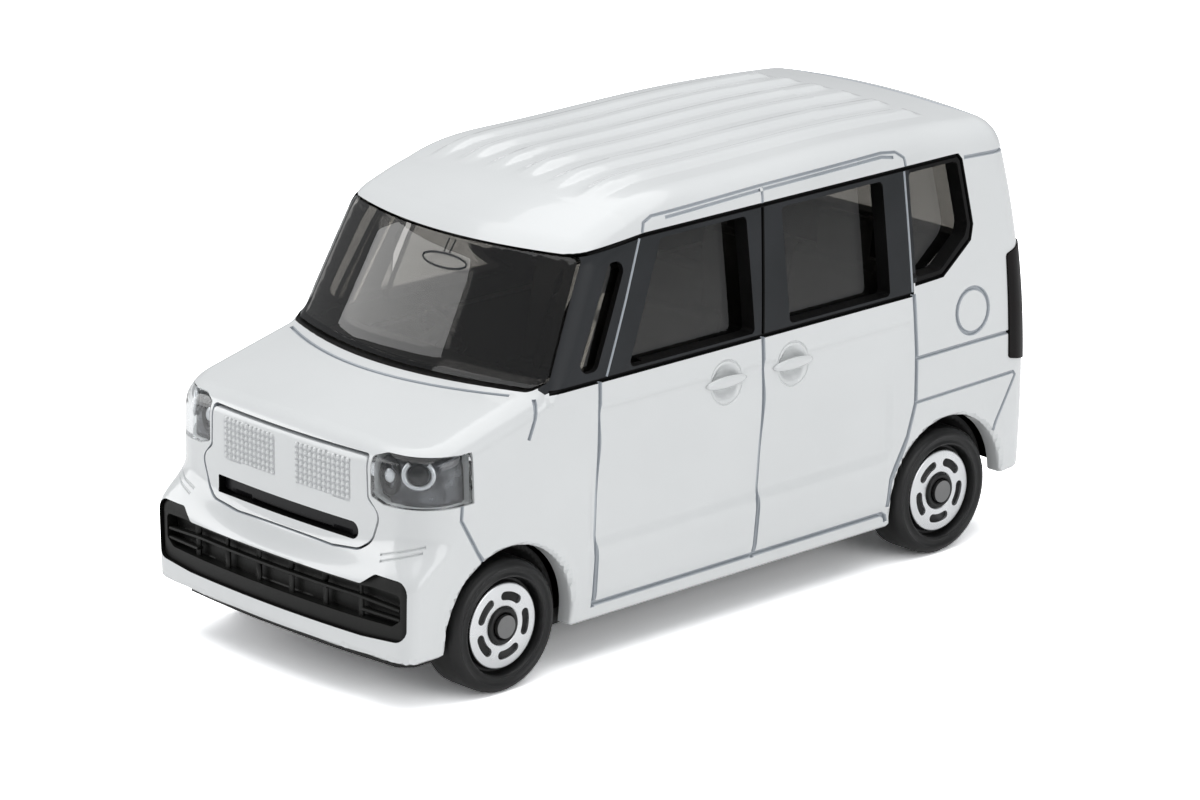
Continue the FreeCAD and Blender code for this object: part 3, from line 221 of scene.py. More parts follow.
def finish_material(name, colour, other, roughness, patch=200.0, grain=3000.0, bump=0.05,
                    metallic=0.0, coat=0.0, specular=0.5):
    """An opaque finish with the shared mottling, and its own colour, gloss and bump."""
    material, nodes, links = new_material(name)
    shader = nodes["Principled BSDF"]
    put(shader, {"Metallic": metallic, "Coat Weight": coat, "Coat Roughness": 0.05,
                 "Specular IOR Level": specular})
    tone = toned(nodes, links, shader, colour, other, roughness, patch, grain)
    rise = nodes.new("ShaderNodeBump")
    put(rise, {"Strength": bump, "Distance": GRAIN_HEIGHT})
    wire(links, (tone, "Height", rise, "Height"), (rise, "Normal", shader, "Normal"))
    return material


# The body shell: one zinc casting, bonnet to tailgate, sprayed in thick white enamel that
# softens its edges and fills its shut lines, with the pillars printed dark grey. The shut lines are
# coloured a greyer white as painted shade. Its outside is worked out as a field, the depth under
# the surface in millimetres, and meshed from that.

white_enamel = finish_material(
    "white_enamel", (0.71, 0.725, 0.725), (0.735, 0.75, 0.75), (0.20, 0.27), patch=90.0,
    grain=700.0, bump=0.02, coat=0.6)
pillar_print = finish_material(
    "pillar_print", (0.016, 0.018, 0.020), (0.021, 0.023, 0.026), (0.34, 0.44), bump=0.04,
    specular=0.25)
# Black for the shell's inside, the walls of its openings and its deepest grooves, painted shade in
# place of the casting's own white; and the black paint on the walls of the grille's slot.
black_and_painted_shade = finish_material(
    "black_and_painted_shade", (0.004, 0.004, 0.004), (0.006, 0.006, 0.006), (0.4, 0.55), bump=0.05,
    specular=0.15)
# Grey for the shut lines: painted shade in the grooves, and on the dark band a painted highlight
# along the fine frame lines.
line_shade_and_highlight = finish_material(
    "line_shade_and_highlight", (0.44, 0.47, 0.50), (0.50, 0.53, 0.56), (0.25, 0.35), patch=90.0, bump=0.02)
HALF_LENGTH = 30.3
HALF_WIDTH = 12.85
BODY_HEIGHT = 31.3
WALL = 1.2
AXLE_PLACES = (-20.8, 20.75)
TYRE_RADIUS = 4.58
ARCH_RADIUS = 5.6
LEVEL_SHARES = np.array((
    (-0.100, 0.955, 0.979), (0.240, 1.000, 0.989), (0.540, 0.993, 0.987), (0.770, 0.937, 0.968),
    (1.040, 0.848, 0.913)))
ROOF_SHARES = np.array((
    (-0.350, 0.968), (-0.020, 0.996), (0.420, 0.999), (0.900, 0.975), (1.150, 0.952)))
HEADER = (-15.45, 28.3)
COWL = (-19.75, 20.0)
NOSE_ROUND, REAR_ROUND = 210, 250  # the larger, the flatter the end is in plan
BUMPER_STEP = 1.45
PLAN_BEND = 14.05


def spline_through(places, values):
    """A natural cubic spline through given values, as a function of place."""
    gaps = np.diff(places)
    slopes = np.diff(values) / gaps
    count = len(places)
    system = np.eye(count)
    right = np.zeros(count)
    for row in range(1, count - 1):
        system[row, row - 1:row + 2] = gaps[row - 1], 2 * (gaps[row - 1] + gaps[row]), gaps[row]
        right[row] = 6 * (slopes[row] - slopes[row - 1])
    bends = np.linalg.solve(system, right)

    def value_at(place):
        cell = np.clip(np.searchsorted(places, place) - 1, 0, count - 2)
        far = (place - places[cell]) / gaps[cell]
        near = 1 - far
        bow = (near ** 3 - near) * bends[cell] + (far ** 3 - far) * bends[cell + 1]
        return near * values[cell] + far * values[cell + 1] + bow * gaps[cell] ** 2 / 6
    return value_at


half_width_at = spline_through(LEVEL_SHARES[:, 0] * BODY_HEIGHT, LEVEL_SHARES[:, 1] * HALF_WIDTH)
rear_reach_at = spline_through(LEVEL_SHARES[:, 0] * BODY_HEIGHT, LEVEL_SHARES[:, 2] * HALF_LENGTH)
roof_height_at = spline_through(
    np.append(HEADER[0], ROOF_SHARES[:, 0] * HALF_LENGTH),
    np.append(HEADER[1], ROOF_SHARES[:, 1] * BODY_HEIGHT))


def both(first, second, radius):
    """Depth inside two fields at once, their common edge rounded."""
    edge = np.hypot(np.maximum(first + radius, 0), np.maximum(second + radius, 0))
    return np.minimum(-radius, np.maximum(first, second)) + edge


def either(first, second, radius):
    """Depth inside one of two fields, their common corner filled round."""
    return -both(-first, -second, radius)


def ease(value, start, end):
    """Soft step from nought to one between two values."""
    share = np.clip((value - start) / (end - start), 0, 1)
    return share * share * (3 - 2 * share)


def body_block(x, y, z):
    """Depth under the body's outer surface, before ribs, arches and cuts."""
    fall = (x / PLAN_BEND) ** 2
    side = np.abs(x) - half_width_at(z)
    rear = y - rear_reach_at(z) + x ** 2 / REAR_ROUND
    top = 10.1 + 1.8 * np.minimum(1, (x / 10.3) ** 2)
    setback = BUMPER_STEP * ease(z, 8.55, top + 0.35)
    nose = (x ** 2 / NOSE_ROUND + setback - y - HALF_LENGTH) * 0.95
    front = both(side, nose, 1.0 + 1.9 * ease(z, 8.8, top))
    walls = both(front, rear, 2.0)
    share = (y + 34.845) / (15.095 + 3 * fall)
    bonnet = (z - 15.85 + 0.5 * fall - share * (4.15 + 0.2 * fall)) * 0.964
    cowl_y, cowl_z = COWL[0] + 3 * fall, COWL[1] - 0.3 * fall
    head_y, head_z = HEADER[0] + 3.4 * fall, HEADER[1] - 0.25 * fall
    run_y, run_z = head_y - cowl_y, head_z - cowl_z
    screen = ((z - cowl_z) * run_y - (y - cowl_y) * run_z) / np.hypot(run_y, run_z)
    shift = 3.4 * fall
    back = y - shift * np.clip((-0.6 - y) / np.maximum(10 - shift, 1), 0, 1)
    drop = fall * (0.9 - 0.65 * np.clip(1 - (back - HEADER[0]) / 4.85, 0, 1))
    roof = z - roof_height_at(back) + drop
    roof = np.where(back < HEADER[0], z - head_z - (y - head_y) * 0.72, roof) * 0.95
    upper = both(either(bonnet, screen, 0.5), roof, 1.0)
    return both(walls, upper, np.where(y < -17, 1.3, 1.6))


HANDLE_PLACES = (-1.0, 5.35)
HANDLE_HEIGHT = 17.15
RIB_COUNT, RIB_SPACING, RIB_HEIGHT = 6, 2.9, 0.32
DOOR_HOLLOW, SILL_STEP, CREASE_DEPTH, HANDLE_CUP, ARCH_FLARE = 0.20, 0.15, 0.10, 0.50, 0.10


def surface_details(x, y, z):
    """Pressed ribs that stand up and soft hollows that go in, as a change of depth."""
    change = 0 * x
    roof = ease(z, 29.0, 29.6) * ease(y, -9.5, -6.5) * (1 - ease(y, 21.6, 22.6))
    for number in range(RIB_COUNT):
        across = np.abs(x - (number - (RIB_COUNT - 1) / 2) * RIB_SPACING)
        change -= RIB_HEIGHT * roof * (1 - ease(across, 0.3, 1.0))
    side = ease(np.abs(x), 11.2, 11.8)
    doors = side * ease(y, -13.8, -13.2) * (1 - ease(y, 14.4, 15.2))
    change += DOOR_HOLLOW * doors * ease(z, 8.2, 9.2) * (1 - ease(z, 11.5, 15.5))
    change -= SILL_STEP * doors * (1 - ease(z, 7.6, 8.8)) * ease(z, 4.3, 5.2)
    crease = side * ease(y, -13.4, -12.6) * (1 - ease(y, 16.8, 17.6))
    change += CREASE_DEPTH * crease * (1 - ease(z, 17.55, 17.85)) * ease(z, 15.5, 17.4)
    for place in HANDLE_PLACES:
        spread = np.hypot(y - place, z - HANDLE_HEIGHT)
        change += HANDLE_CUP * side * (1 - ease(spread, 0.6, 1.45))
    for axle in AXLE_PLACES:
        ring = np.hypot(y - axle, z - TYRE_RADIUS)
        flare = (1 - ease(ring, 5.75, 6.5)) * ease(np.abs(x), 11.0, 11.8) * ease(z, 3.5, 5)
        change -= ARCH_FLARE * flare
    return change


def body_outside(x, y, z):
    """Depth under the finished outer surface, arches and lower edges included."""
    depth = body_block(x, y, z) + surface_details(x, y, z)
    lowest = np.where(y < -24.2, 3.9, np.where(y > 24.8, 4.75, 3.3))
    depth = both(depth, lowest - z, 0.3)
    for axle in AXLE_PLACES:
        depth = both(depth, ARCH_RADIUS - np.hypot(y - axle, z - TYRE_RADIUS), 0.25)
    return depth


def slope_of(field, points, step=0.01):
    """Outward slope of a field at points, by small differences."""
    slope = np.empty_like(points)
    for axis in range(3):
        move = np.zeros(3)
        move[axis] = step
        slope[:, axis] = (field(*(points + move).T) - field(*(points - move).T)) / (2 * step)
    return slope


def unit(vectors):
    """The same directions at length one."""
    return vectors / np.maximum(np.linalg.norm(vectors, axis=1), 1e-9)[:, None]


SETTLING = 4


def skin_of(name, field, low, high, cell):
    """A closed mesh on a field's surface: one point for each grid cell that the surface crosses.

    The points are then moved down the field's slope a few times, to lie exactly on it.
    """
    counts = [int(math.ceil((b - a) / cell)) + 1 for a, b in zip(low, high)]
    axes = [a + cell * np.arange(n) for a, n in zip(low, counts)]
    grid = np.meshgrid(*axes, indexing="ij")
    values = field(*(part.ravel() for part in grid)).reshape(counts)
    inside = values < 0
    corner = np.stack([part[:-1, :-1, :-1] for part in grid], axis=-1)
    total = np.zeros(corner.shape)
    hits = np.zeros(corner.shape[:3])
    for axis in range(3):
        aside = [other for other in range(3) if other != axis]
        for shift in ((0, 0), (0, 1), (1, 0), (1, 1)):
            start = [slice(0, -1)] * 3
            offset = np.zeros(3)
            for other, step in zip(aside, shift):
                start[other] = slice(step, counts[other] - 1 + step)
                offset[other] = step * cell
            end = list(start)
            end[axis] = slice(1, None)
            first, second = values[tuple(start)], values[tuple(end)]
            crossed = (first < 0) != (second < 0)
            place = corner + offset
            fall = np.where(crossed, first - second, 1)
            place[..., axis] += cell * np.where(crossed, first / fall, 0)
            total += np.where(crossed[..., None], place, 0)
            hits += crossed
    crossed = hits > 0
    number = -np.ones(crossed.shape, np.int64)
    number[crossed] = np.arange(crossed.sum())
    points = total[crossed] / hits[crossed][:, None]
    quads = []
    for axis in range(3):
        aside = ((axis + 1) % 3, (axis + 2) % 3)
        near = [slice(1, -1)] * 3
        near[axis] = slice(0, -1)
        far = [slice(1, -1)] * 3
        far[axis] = slice(1, None)
        first, second = inside[tuple(near)], inside[tuple(far)]
        for outward in (True, False):
            where = np.argwhere((first & ~second) if outward else (~first & second))
            around = []
            for shift in ((0, 0), (1, 0), (1, 1), (0, 1)):
                beside = where.copy()
                beside[:, aside[0]] += shift[0]
                beside[:, aside[1]] += shift[1]
                around.append(number[tuple(beside.T)])
            quad = np.stack(around, axis=1)
            quads.append(quad if outward else quad[:, ::-1])
    for _ in range(SETTLING):
        slope = slope_of(field, points)
        steepness = np.maximum((slope ** 2).sum(axis=1), 0.2)
        points = points - slope * (field(*points.T) / steepness)[:, None]
    return mesh_from(name, points, np.concatenate(quads))


def shaded(mesh, crease):
    """The mesh with soft shading, but for creases above an angle in degrees."""
    mesh.shade_smooth()
    mesh.set_sharp_from_angle(angle=math.radians(crease))
    return mesh


def faced_out(mesh):
    """The mesh with every face turned outwards."""
    work = bmesh.new()
    work.from_mesh(mesh)
    bmesh.ops.recalc_face_normals(work, faces=work.faces)
    work.to_mesh(mesh)
    work.free()
    return mesh


def tubes(name, runs, closed=False):
    """Closed bodies, each drawn through a run of equal rings of points and capped, or joined up."""
    points, faces = [], []
    for rings in runs:
        base, size, count = len(points), len(rings[0]), len(rings)
        for ring in rings:
            points.extend(tuple(place) for place in ring)
        for number in range(count if closed else count - 1):
            near, far = base + number * size, base + (number + 1) % count * size
            for i in range(size):
                after = (i + 1) % size
                faces.append((near + i, near + after, far + after, far + i))
        if not closed:
            faces.append(tuple(base + i for i in reversed(range(size))))
            faces.append(tuple(base + (count - 1) * size + i for i in range(size)))
    return faced_out(mesh_from(name, points, faces))


def made_plain(piece):
    """The mesh that an object has after its modifiers."""
    bpy.context.view_layer.update()
    return bpy.data.meshes.new_from_object(
        piece.evaluated_get(bpy.context.evaluated_depsgraph_get()))


def combined(mesh, tool, operation):
    """One closed mesh less another, or only what both share."""
    holders = [piece_from("work", part) for part in (mesh, tool)]
    step = holders[0].modifiers.new("step", "BOOLEAN")
    step.operation = operation
    step.solver = "MANIFOLD"
    step.object = holders[1]
    result = made_plain(holders[0])
    for holder in holders:
        bpy.data.objects.remove(holder)
    return result


def less(mesh, *tools):
    """A mesh with each cutter taken out of it in turn."""
    for tool in tools:
        mesh = combined(mesh, tool, "DIFFERENCE")
    return mesh


def with_index(mesh, index):
    """Mark every face of a cutter with the material that its cut shows."""
    mesh.polygons.foreach_set("material_index", [index] * len(mesh.polygons))
    return mesh


def rounded_corners(corners, radius, parts=6):
    """A closed outline of places with each corner rounded."""
    corners = [np.array(corner, float) for corner in corners]
    outline = []
    for number, corner in enumerate(corners):
        before = corners[number - 1] - corner
        after = corners[(number + 1) % len(corners)] - corner
        before, after = before / np.linalg.norm(before), after / np.linalg.norm(after)
        half = math.acos(max(-1.0, min(1.0, float(before @ after)))) / 2
        own = radius[number] if isinstance(radius, (tuple, list)) else radius
        centre = corner + (before + after) / np.linalg.norm(before + after) * own / math.sin(half)
        first = corner + before * own / math.tan(half) - centre
        last = corner + after * own / math.tan(half) - centre
        for part in range(parts + 1):
            turn = part / parts
            arm = first * (1 - turn) + last * turn
            outline.append(centre + arm / np.linalg.norm(arm) * own)
    return outline


def prisms(name, outlines, axis, spans):
    """Closed blocks: each outline, seen along an axis, carried through each span."""
    return tubes(name, [[np.insert(np.array(outline), axis, depth, axis=1) for depth in span]
                        for outline in outlines for span in spans])


def trimmed(mesh, outline, radius, axis, *spans):
    """The part of a mesh that lies inside an outline with rounded corners, seen along an axis."""
    edge = prisms("edge", [rounded_corners(outline, radius)], axis, spans)
    return combined(mesh, edge, "INTERSECT")


SIDE_REACH, NOSE_REACH = (6.0, 14.5), (-20.0, -31.5)  # from inside the body to outside it


def laid_on(places, axis, inner, outer, closed=False, spacing=0.4):
    """A line of places seen along an axis, laid on the body's surface in short steps."""
    places = [np.array(place, float) for place in places]
    if closed:
        places.append(places[0])
    line = []
    for start, end in zip(places, places[1:]):
        steps = max(1, int(np.linalg.norm(end - start) / spacing))
        line.extend(start + (end - start) * step / steps for step in range(steps))
    if not closed:
        line.append(places[-1])
    line = np.array(line)
    low, high = np.full(len(line), float(inner)), np.full(len(line), float(outer))
    for _ in range(30):
        middle = (low + high) / 2
        within = body_block(*np.insert(line, axis, middle, axis=1).T) < 0
        low, high = np.where(within, middle, low), np.where(within, high, middle)
    return np.insert(line, axis, low, axis=1)


LIP = 0.07


def shut_lines(name, lines, closed, half=0.11, depth=0.24):
    """Cutters that follow lines on the surface: straight-sided grooves with eased lips."""
    section = ((-half - LIP, 0.3), (-half - LIP, 0.02), (-half, -LIP), (-0.8 * half, -depth),
               (0.8 * half, -depth), (half, -LIP), (half + LIP, 0.02), (half + LIP, 0.3))
    runs = []
    for line in lines:
        ahead = np.roll(line, -1, axis=0) - np.roll(line, 1, axis=0)
        if not closed:
            ahead[0], ahead[-1] = line[1] - line[0], line[-1] - line[-2]
        rise = unit(slope_of(body_block, line))
        aside = unit(np.cross(ahead, rise))
        runs.append([[place + across * wide + up * high for wide, high in section]
                     for place, across, up in zip(line, aside, rise)])
    return tubes(name, runs, closed)


def on_both_sides(*lines):
    """Side lines on the left and their twins on the right."""
    left = [laid_on(places, 0, *SIDE_REACH) for places in lines]
    return left + [line * (-1, 1, 1) for line in left]


def both_halves(*left):
    """An outline on the nose, from its left half."""
    return left + tuple((-x, z) for x, z in reversed(left))


BAND_OUTLINE = (
    (-22.0, 19.62), (17.3, 19.62), (17.5, 20.35), (20.3, 20.4), (23.2, 22.4), (23.5, 23.4),
    (22.9, 28.0), (22.6, 28.35), (-7.6, 28.35), (-12.7, 27.85), (-14.8, 27.9))
SIDE_WINDOWS = (
    (((-14.6, 20.3), (-12.75, 20.3), (-9.3, 27.1), (-10.9, 27.1)), 0.62),
    (((-9.9, 19.95), (1.85, 19.95), (1.85, 27.9), (-6.1, 27.9)), 0.35),
    (((5.2, 19.95), (15.0, 19.95), (15.0, 27.9), (5.2, 27.9)), 0.35),
    (((17.6, 20.75), (20.1, 20.8), (22.75, 22.75), (23.05, 23.5), (22.45, 28.0), (17.6, 28.0)),
     (0.3, 1.4, 0.8, 0.8, 0.4, 0.3)),
)
SCREEN_OUTLINE = ((-12.15, 19.75), (12.15, 19.75), (11.15, 27.9), (-11.15, 27.9))
GATE_WINDOW = ((-8.9, 20.5), (8.9, 20.5), (8.3, 26.9), (-8.3, 26.9))
TAIL_LAMP = ((26.75, 13.2), (31.0, 12.2), (31.0, 21.7), (26.75, 20.7))
MOUTH_OUTLINE = both_halves((8.6, 5.2), (12.35, 5.45), (12.45, 9.5), (9.55, 9.55), (8.5, 8.75))
MOUTH_RADII = (1.0, 0.95, 0.85, 0.55, 0.5, 0.5, 0.55, 0.85, 0.95, 1.0)
LAMP_OUTLINE = ((8.0, 16.9), (8.0, 14.2), (9.1, 13.85), (13.6, 13.85), (13.6, 17.25), (9.0, 17.25))
PANEL_OUTLINE = both_halves(
    (7.75, 16.95), (7.85, 14.1), (8.9, 13.0), (8.2, 11.1), (7.3, 10.45), (4.8, 10.15))
PANEL_RADII = (0.3, 0.5, 0.9, 1.4, 1.4, 1.8, 1.8, 1.4, 1.4, 0.9, 0.5, 0.3)

skin = skin_of("body_skin", body_outside, (-13.9, -31.1, 2.2), (13.9, 31.1, 32.2), 0.34)
for material in (white_enamel, pillar_print, black_and_painted_shade, line_shade_and_highlight):
    skin.materials.append(material)


def form_under(depth, floor):
    """A field: the body's form less a skin of some depth, cut off at a floor."""
    return lambda x, y, z: np.maximum(body_block(x, y, z) + depth, floor - z)


def through_front(name, outline, radius, depth, twin=False):
    """A cutter that goes in from the front, with its mirror twin where the van has two."""
    outlines = [rounded_corners(outline, radius)]
    if twin:
        outlines.append([(-place[0], place[1]) for place in outlines[0]])
    return prisms(name, outlines, 1, ((-31.5, depth),))


# The cut faces show enamel (0); black (2), painted shade on the shell's inside, the walls of
# its openings and its deepest grooves; and grey (3), painted shade in the shut lines and painted
# highlight along the fine frame lines on the dark band.
side_openings = [rounded_corners(corners, radius) for corners, radius in SIDE_WINDOWS]
skin = less(
    skin,
    with_index(skin_of("hollow", form_under(WALL, 1.0), (-13.1, -30.5, 0.2), (13.1, 30.5, 31.5),
                       0.9), 2),
    with_index(prisms("side_windows", side_openings, 0, ((8.4, 14.5), (-14.5, -8.4))), 2),
    with_index(prisms("screen", [rounded_corners(SCREEN_OUTLINE, 0.7)], 1, ((-31.5, -8.0),)), 2),
    with_index(prisms("gate", [rounded_corners(GATE_WINDOW, 0.8)], 1, ((24.0, 31.5),)), 2),
    with_index(through_front("mouth", MOUTH_OUTLINE, MOUTH_RADII, -27.7), 2),
    with_index(through_front("panel", PANEL_OUTLINE, PANEL_RADII, -26.6), 3),
    through_front("lamps", LAMP_OUTLINE, 0.25, -23.95, twin=True),
    prisms("tails", [rounded_corners(TAIL_LAMP, 0.3)], 0, ((10.4, 14.5), (-14.5, -10.4))))


def ring_on_side(along, high, radius, parts):
    """A round line on the left side about a place."""
    turns = [turn * math.tau / parts for turn in range(parts)]
    places = [(along + radius * math.cos(turn), high + radius * math.sin(turn)) for turn in turns]
    return laid_on(places, 0, *SIDE_REACH, closed=True)


sill_line = on_both_sides(((-13.3, 4.45), (14.2, 4.45), (14.6, 4.2), (14.7, 3.8)))
front_seams = on_both_sides(((-12.5, 19.62), (-12.96, 13.68), (-13.3, 4.2)))
pillar_seams = on_both_sides(((3.45, 28.2), (2.6, 19.75)))
middle_seams = on_both_sides(
    ((2.6, 19.62), (2.45, 15.2), (1.6, 4.2)),
    ((17.35, 19.62), (17.42, 15.6), (17.34, 11.9), (16.6, 9.6), (15.0, 6.8), (14.7, 4.9)))
frame_lines = on_both_sides(
    ((-8.0, 28.2), (-9.7, 24.4), (-11.9, 19.8)), ((17.2, 28.2), (17.2, 19.8)))
side_lines = on_both_sides(
    ((17.3, 15.05), (23.0, 15.1), (28.2, 15.1)), ((-25.0, 13.9), (-25.1, 12.9), (-23.2, 9.6)),
    ((-18.0, 19.4), (-18.45, 18.2), (-19.05, 17.0)))
bumper_lines = on_both_sides(((17.3, 11.9), (27.3, 12.1), (27.5, 11.85), (25.3, 8.2)))
belt_lines = on_both_sides(
    ((-16.9, 19.62), (17.25, 19.62)),
    ((17.5, 20.3), (20.3, 20.4), (23.2, 22.4), (23.5, 23.4), (22.9, 28.0), (22.6, 28.35),
     (-7.6, 28.35), (-13.6, 27.8)))
drip_lines = on_both_sides(((-7.7, 28.5), (-7.4, 29.1), (-6.6, 29.4), (3.3, 29.62), (15.3, 29.75),
                            (16.6, 29.6), (17.3, 29.1), (17.4, 28.5)))
drip_inner = on_both_sides(
    ((-5.5, 29.12), (3.2, 29.35), (15.2, 29.5), (16.3, 29.3)), ((3.55, 29.5), (3.5, 28.45)))
tail_lines = on_both_sides(((23.2, 28.1), (26.8, 27.95), (28.6, 27.9)))
for across in (((-9.4, 26.6), (-6.3, 26.2), (6.3, 26.2), (9.4, 26.6)),
               ((-9.9, 28.0), (0, 28.3), (9.9, 28.0))):
    tail_lines.append(laid_on(across, 2, 26.0, 32.0))
cowl_across = [-10.8 + 0.9 * step for step in range(25)]
tail_lines.append(laid_on([(x, 0.0225 * x ** 2 - 21.6) for x in cowl_across], 2, 15.0, 24.0))
ledge_lines = [laid_on(line, 1, *NOSE_REACH)
               for line in (((9.3, 10.65), (12.1, 11.5)), ((9.5, 10.3), (12.1, 11.15)))]
ledge_lines += [line * (-1, 1, 1) for line in ledge_lines]
cup_rings = []
for place in HANDLE_PLACES:
    ring = ring_on_side(place, HANDLE_HEIGHT, 1.5, 28)
    cup_rings += [ring, ring * (-1, 1, 1)]
lid_ring = [ring_on_side(23.15, 17.34, 1.6, 32)]
gate_ring = [laid_on(rounded_corners(((-9.8, 8.6), (9.8, 8.6), (9.8, 27.6), (-9.8, 27.6)), 1.0),
                     1, 20.0, 31.5, closed=True)]
# Each round of lines is cut by itself, because a cutter's tubes may not run through each other.
for name, lines, closed, half, depth, index in (
        ("sill", sill_line, False, 0.13, 0.30, 3), ("front", front_seams, False, 0.12, 0.24, 3),
        ("middle", middle_seams, False, 0.13, 0.26, 3), ("side", side_lines, False, 0.10, 0.2, 3),
        ("bumper", bumper_lines, False, 0.08, 0.16, 3),
        ("ledge", ledge_lines, False, 0.05, 0.12, 0), ("cup", cup_rings, True, 0.04, 0.1, 0),
        ("belt", belt_lines, False, 0.10, 0.3, 2), ("pillar", pillar_seams, False, 0.09, 0.3, 2),
        ("frame", frame_lines, False, 0.04, 0.1, 3), ("drip", drip_lines, False, 0.07, 0.16, 3),
        ("inner_drip", drip_inner, False, 0.07, 0.14, 3), ("tail", tail_lines, False, 0.09, 0.2, 3),
        ("lid", lid_ring, True, 0.12, 0.22, 3), ("gate", gate_ring, True, 0.11, 0.22, 3)):
    skin = less(skin, with_index(shut_lines(name, lines, closed, half, depth), index))


def inside(outline, along, high):
    """Whether points of the side view lie within a closed outline."""
    within = np.zeros(len(along), bool)
    for number, (y_end, z_end) in enumerate(outline):
        y_start, z_start = outline[number - 1]
        if z_start != z_end:
            spans = (z_start > high) != (z_end > high)
            cross = y_start + (high - z_start) / (z_end - z_start) * (y_end - y_start)
            within ^= spans & (along < cross)
    return within


FACES_ALIKE = 0.8  # the cosine above which a face counts as lying along the field


def values_of(items, entry, kind=float, width=1):
    """A value, or a row of values, of each vertex, corner or face of a mesh."""
    values = np.empty(len(items) * width, kind)
    items.foreach_get(entry, values)
    return values.reshape(-1, width) if width > 1 else values


def field_normals(mesh, field, depths=(0.0,), tolerance=0.02):
    """Shade the faces that lie at given depths of a field by its slope, and the cut faces flat."""
    points = values_of(mesh.vertices, "co", width=3) / MM
    rise = unit(slope_of(field, points, 0.02))
    values = field(*points.T)
    near = np.zeros(len(points), bool)
    for depth in depths:
        near |= np.abs(values + depth) < tolerance
    loops = values_of(mesh.loops, "vertex_index", int)
    face_normals = values_of(mesh.polygons, "normal", width=3)
    sizes = values_of(mesh.polygons, "loop_total", int)
    owner = np.repeat(np.arange(len(sizes)), sizes)
    lean = (rise[loops] * face_normals[owner]).sum(axis=1)
    fits = near[loops] & (np.abs(lean) > FACES_ALIKE)
    whole = np.ones(len(sizes), bool)
    np.logical_and.at(whole, owner, fits)
    curved = rise[loops] * np.sign(lean)[:, None]
    normals = np.where(whole[owner][:, None], curved, face_normals[owner])
    mesh.shade_smooth()
    mesh.normals_split_custom_set(normals.tolist())


# The band of pillars and frames between the side windows is printed dark grey (1), and its end
# behind the rear door black (2).
BAND_INSIDE, SCREEN_PILLAR, REAR_DOOR_END = 9.5, (-17.5, 20.0), 17.55
indices = values_of(skin.polygons, "material_index", np.int32)
across, along, high = (values_of(skin.polygons, "center", width=3) / MM).T
band = (np.abs(across) > BAND_INSIDE) & inside(BAND_OUTLINE, along, high) & (indices == 0)
band &= (along > SCREEN_PILLAR[0]) | (high > SCREEN_PILLAR[1])
indices[band] = 1
indices[band & (along > REAR_DOOR_END)] = 2
skin.polygons.foreach_set("material_index", indices)
field_normals(skin, body_outside)
settle(piece_from("painted_shell", skin), "body_shell")

WELD = 0.0005 * MM


def smooth_copy(node, name, material, crease=32):
    """A welded copy of a node's mesh with soft shading across its shallow creases."""
    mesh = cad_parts[node].data.copy()
    mesh.name = name
    work = bmesh.new()
    work.from_mesh(mesh)
    bmesh.ops.remove_doubles(work, verts=work.verts, dist=WELD)
    work.to_mesh(mesh)
    work.free()
    return piece_from(name, shaded(mesh, crease), material)


# The window moulding: one piece of smoked clear styrene pressed up inside the shell. Its
# windscreen stands up flush in the opening, and the other panes lie against the inside wall.


def clear_material(name, tint, shade):
    """Clear plastic that also lets the light of the lamps through to what lies behind."""
    material, nodes, links = new_material(name)
    shader = nodes["Principled BSDF"]
    put(shader, {"Transmission Weight": 1.0, "IOR": 1.45})
    toned(nodes, links, shader, tint, [0.96 * part for part in tint], (0.0, 0.0), 150.0)
    otherwise_to(nodes, links, "Is Shadow Ray", "ShaderNodeBsdfTransparent", shade)
    return material


PANE_OUTER, PANE_INNER = WALL + 0.04, WALL + 0.5
SCREEN_OUTER, SCREEN_INNER = 0.12, 0.75


def layer_between(name, outer, inner, cell=0.8):
    """The body's form between two depths under its surface, as a closed shell."""
    low, high = (-13.6, -31.0, 1.4), (13.6, 31.0, 32.0)
    return less(*(skin_of(name, form_under(depth, 2.0), low, high, cell)
                  for depth in (outer, inner)))


def grown(outline, margin):
    """An outline with every place moved away from its middle by a margin on each axis."""
    places = np.array(outline, float)
    middle = (places.min(axis=0) + places.max(axis=0)) / 2
    return [tuple(place + np.sign(place - middle) * margin) for place in places]


smoked_styrene = clear_material("smoked_styrene", (0.38, 0.37, 0.35), (0.5, 0.48, 0.45))
pane_layer = layer_between("pane_layer", PANE_OUTER, PANE_INNER)
pane_outlines = [rounded_corners(grown(corners, 0.35), radius) for corners, radius in SIDE_WINDOWS]
side_panes = combined(
    pane_layer, prisms("side_panes", pane_outlines, 0, ((8.0, 14.5), (-14.5, -8.0))), "INTERSECT")
gate_pane = trimmed(pane_layer, grown(GATE_WINDOW, 0.4), 0.8, 1, (24.0, 31.5))
screen_layer = layer_between("screen_layer", SCREEN_OUTER, SCREEN_INNER, 0.5)
screen_pane = trimmed(screen_layer, grown(SCREEN_OUTLINE, -0.18), 0.6, 1, (-31.5, -9.0))


def joined_meshes(name, meshes):
    """Several meshes as one."""
    work = bmesh.new()
    for mesh in meshes:
        work.from_mesh(mesh)
    result = bpy.data.meshes.new(name)
    work.to_mesh(result)
    work.free()
    return result


def lay_in(name, mesh, material, slot, node, *depths):
    """A piece that follows the body's form at given depths, shaded, with the solid it stands for
    hidden.
    """
    field_normals(mesh, body_block, depths)
    settle(piece_from(name, mesh, material), node)


windows_mesh = joined_meshes("window_panes", (side_panes, gate_pane, screen_pane))
lay_in("window_moulding", windows_mesh, smoked_styrene, "smoked_clear", "window_unit",
       PANE_OUTER, PANE_INNER, SCREEN_OUTER, SCREEN_INNER)

# The inside: one black moulding of floor tub, dashboard and four seats, held under the
# window moulding by the base plate.

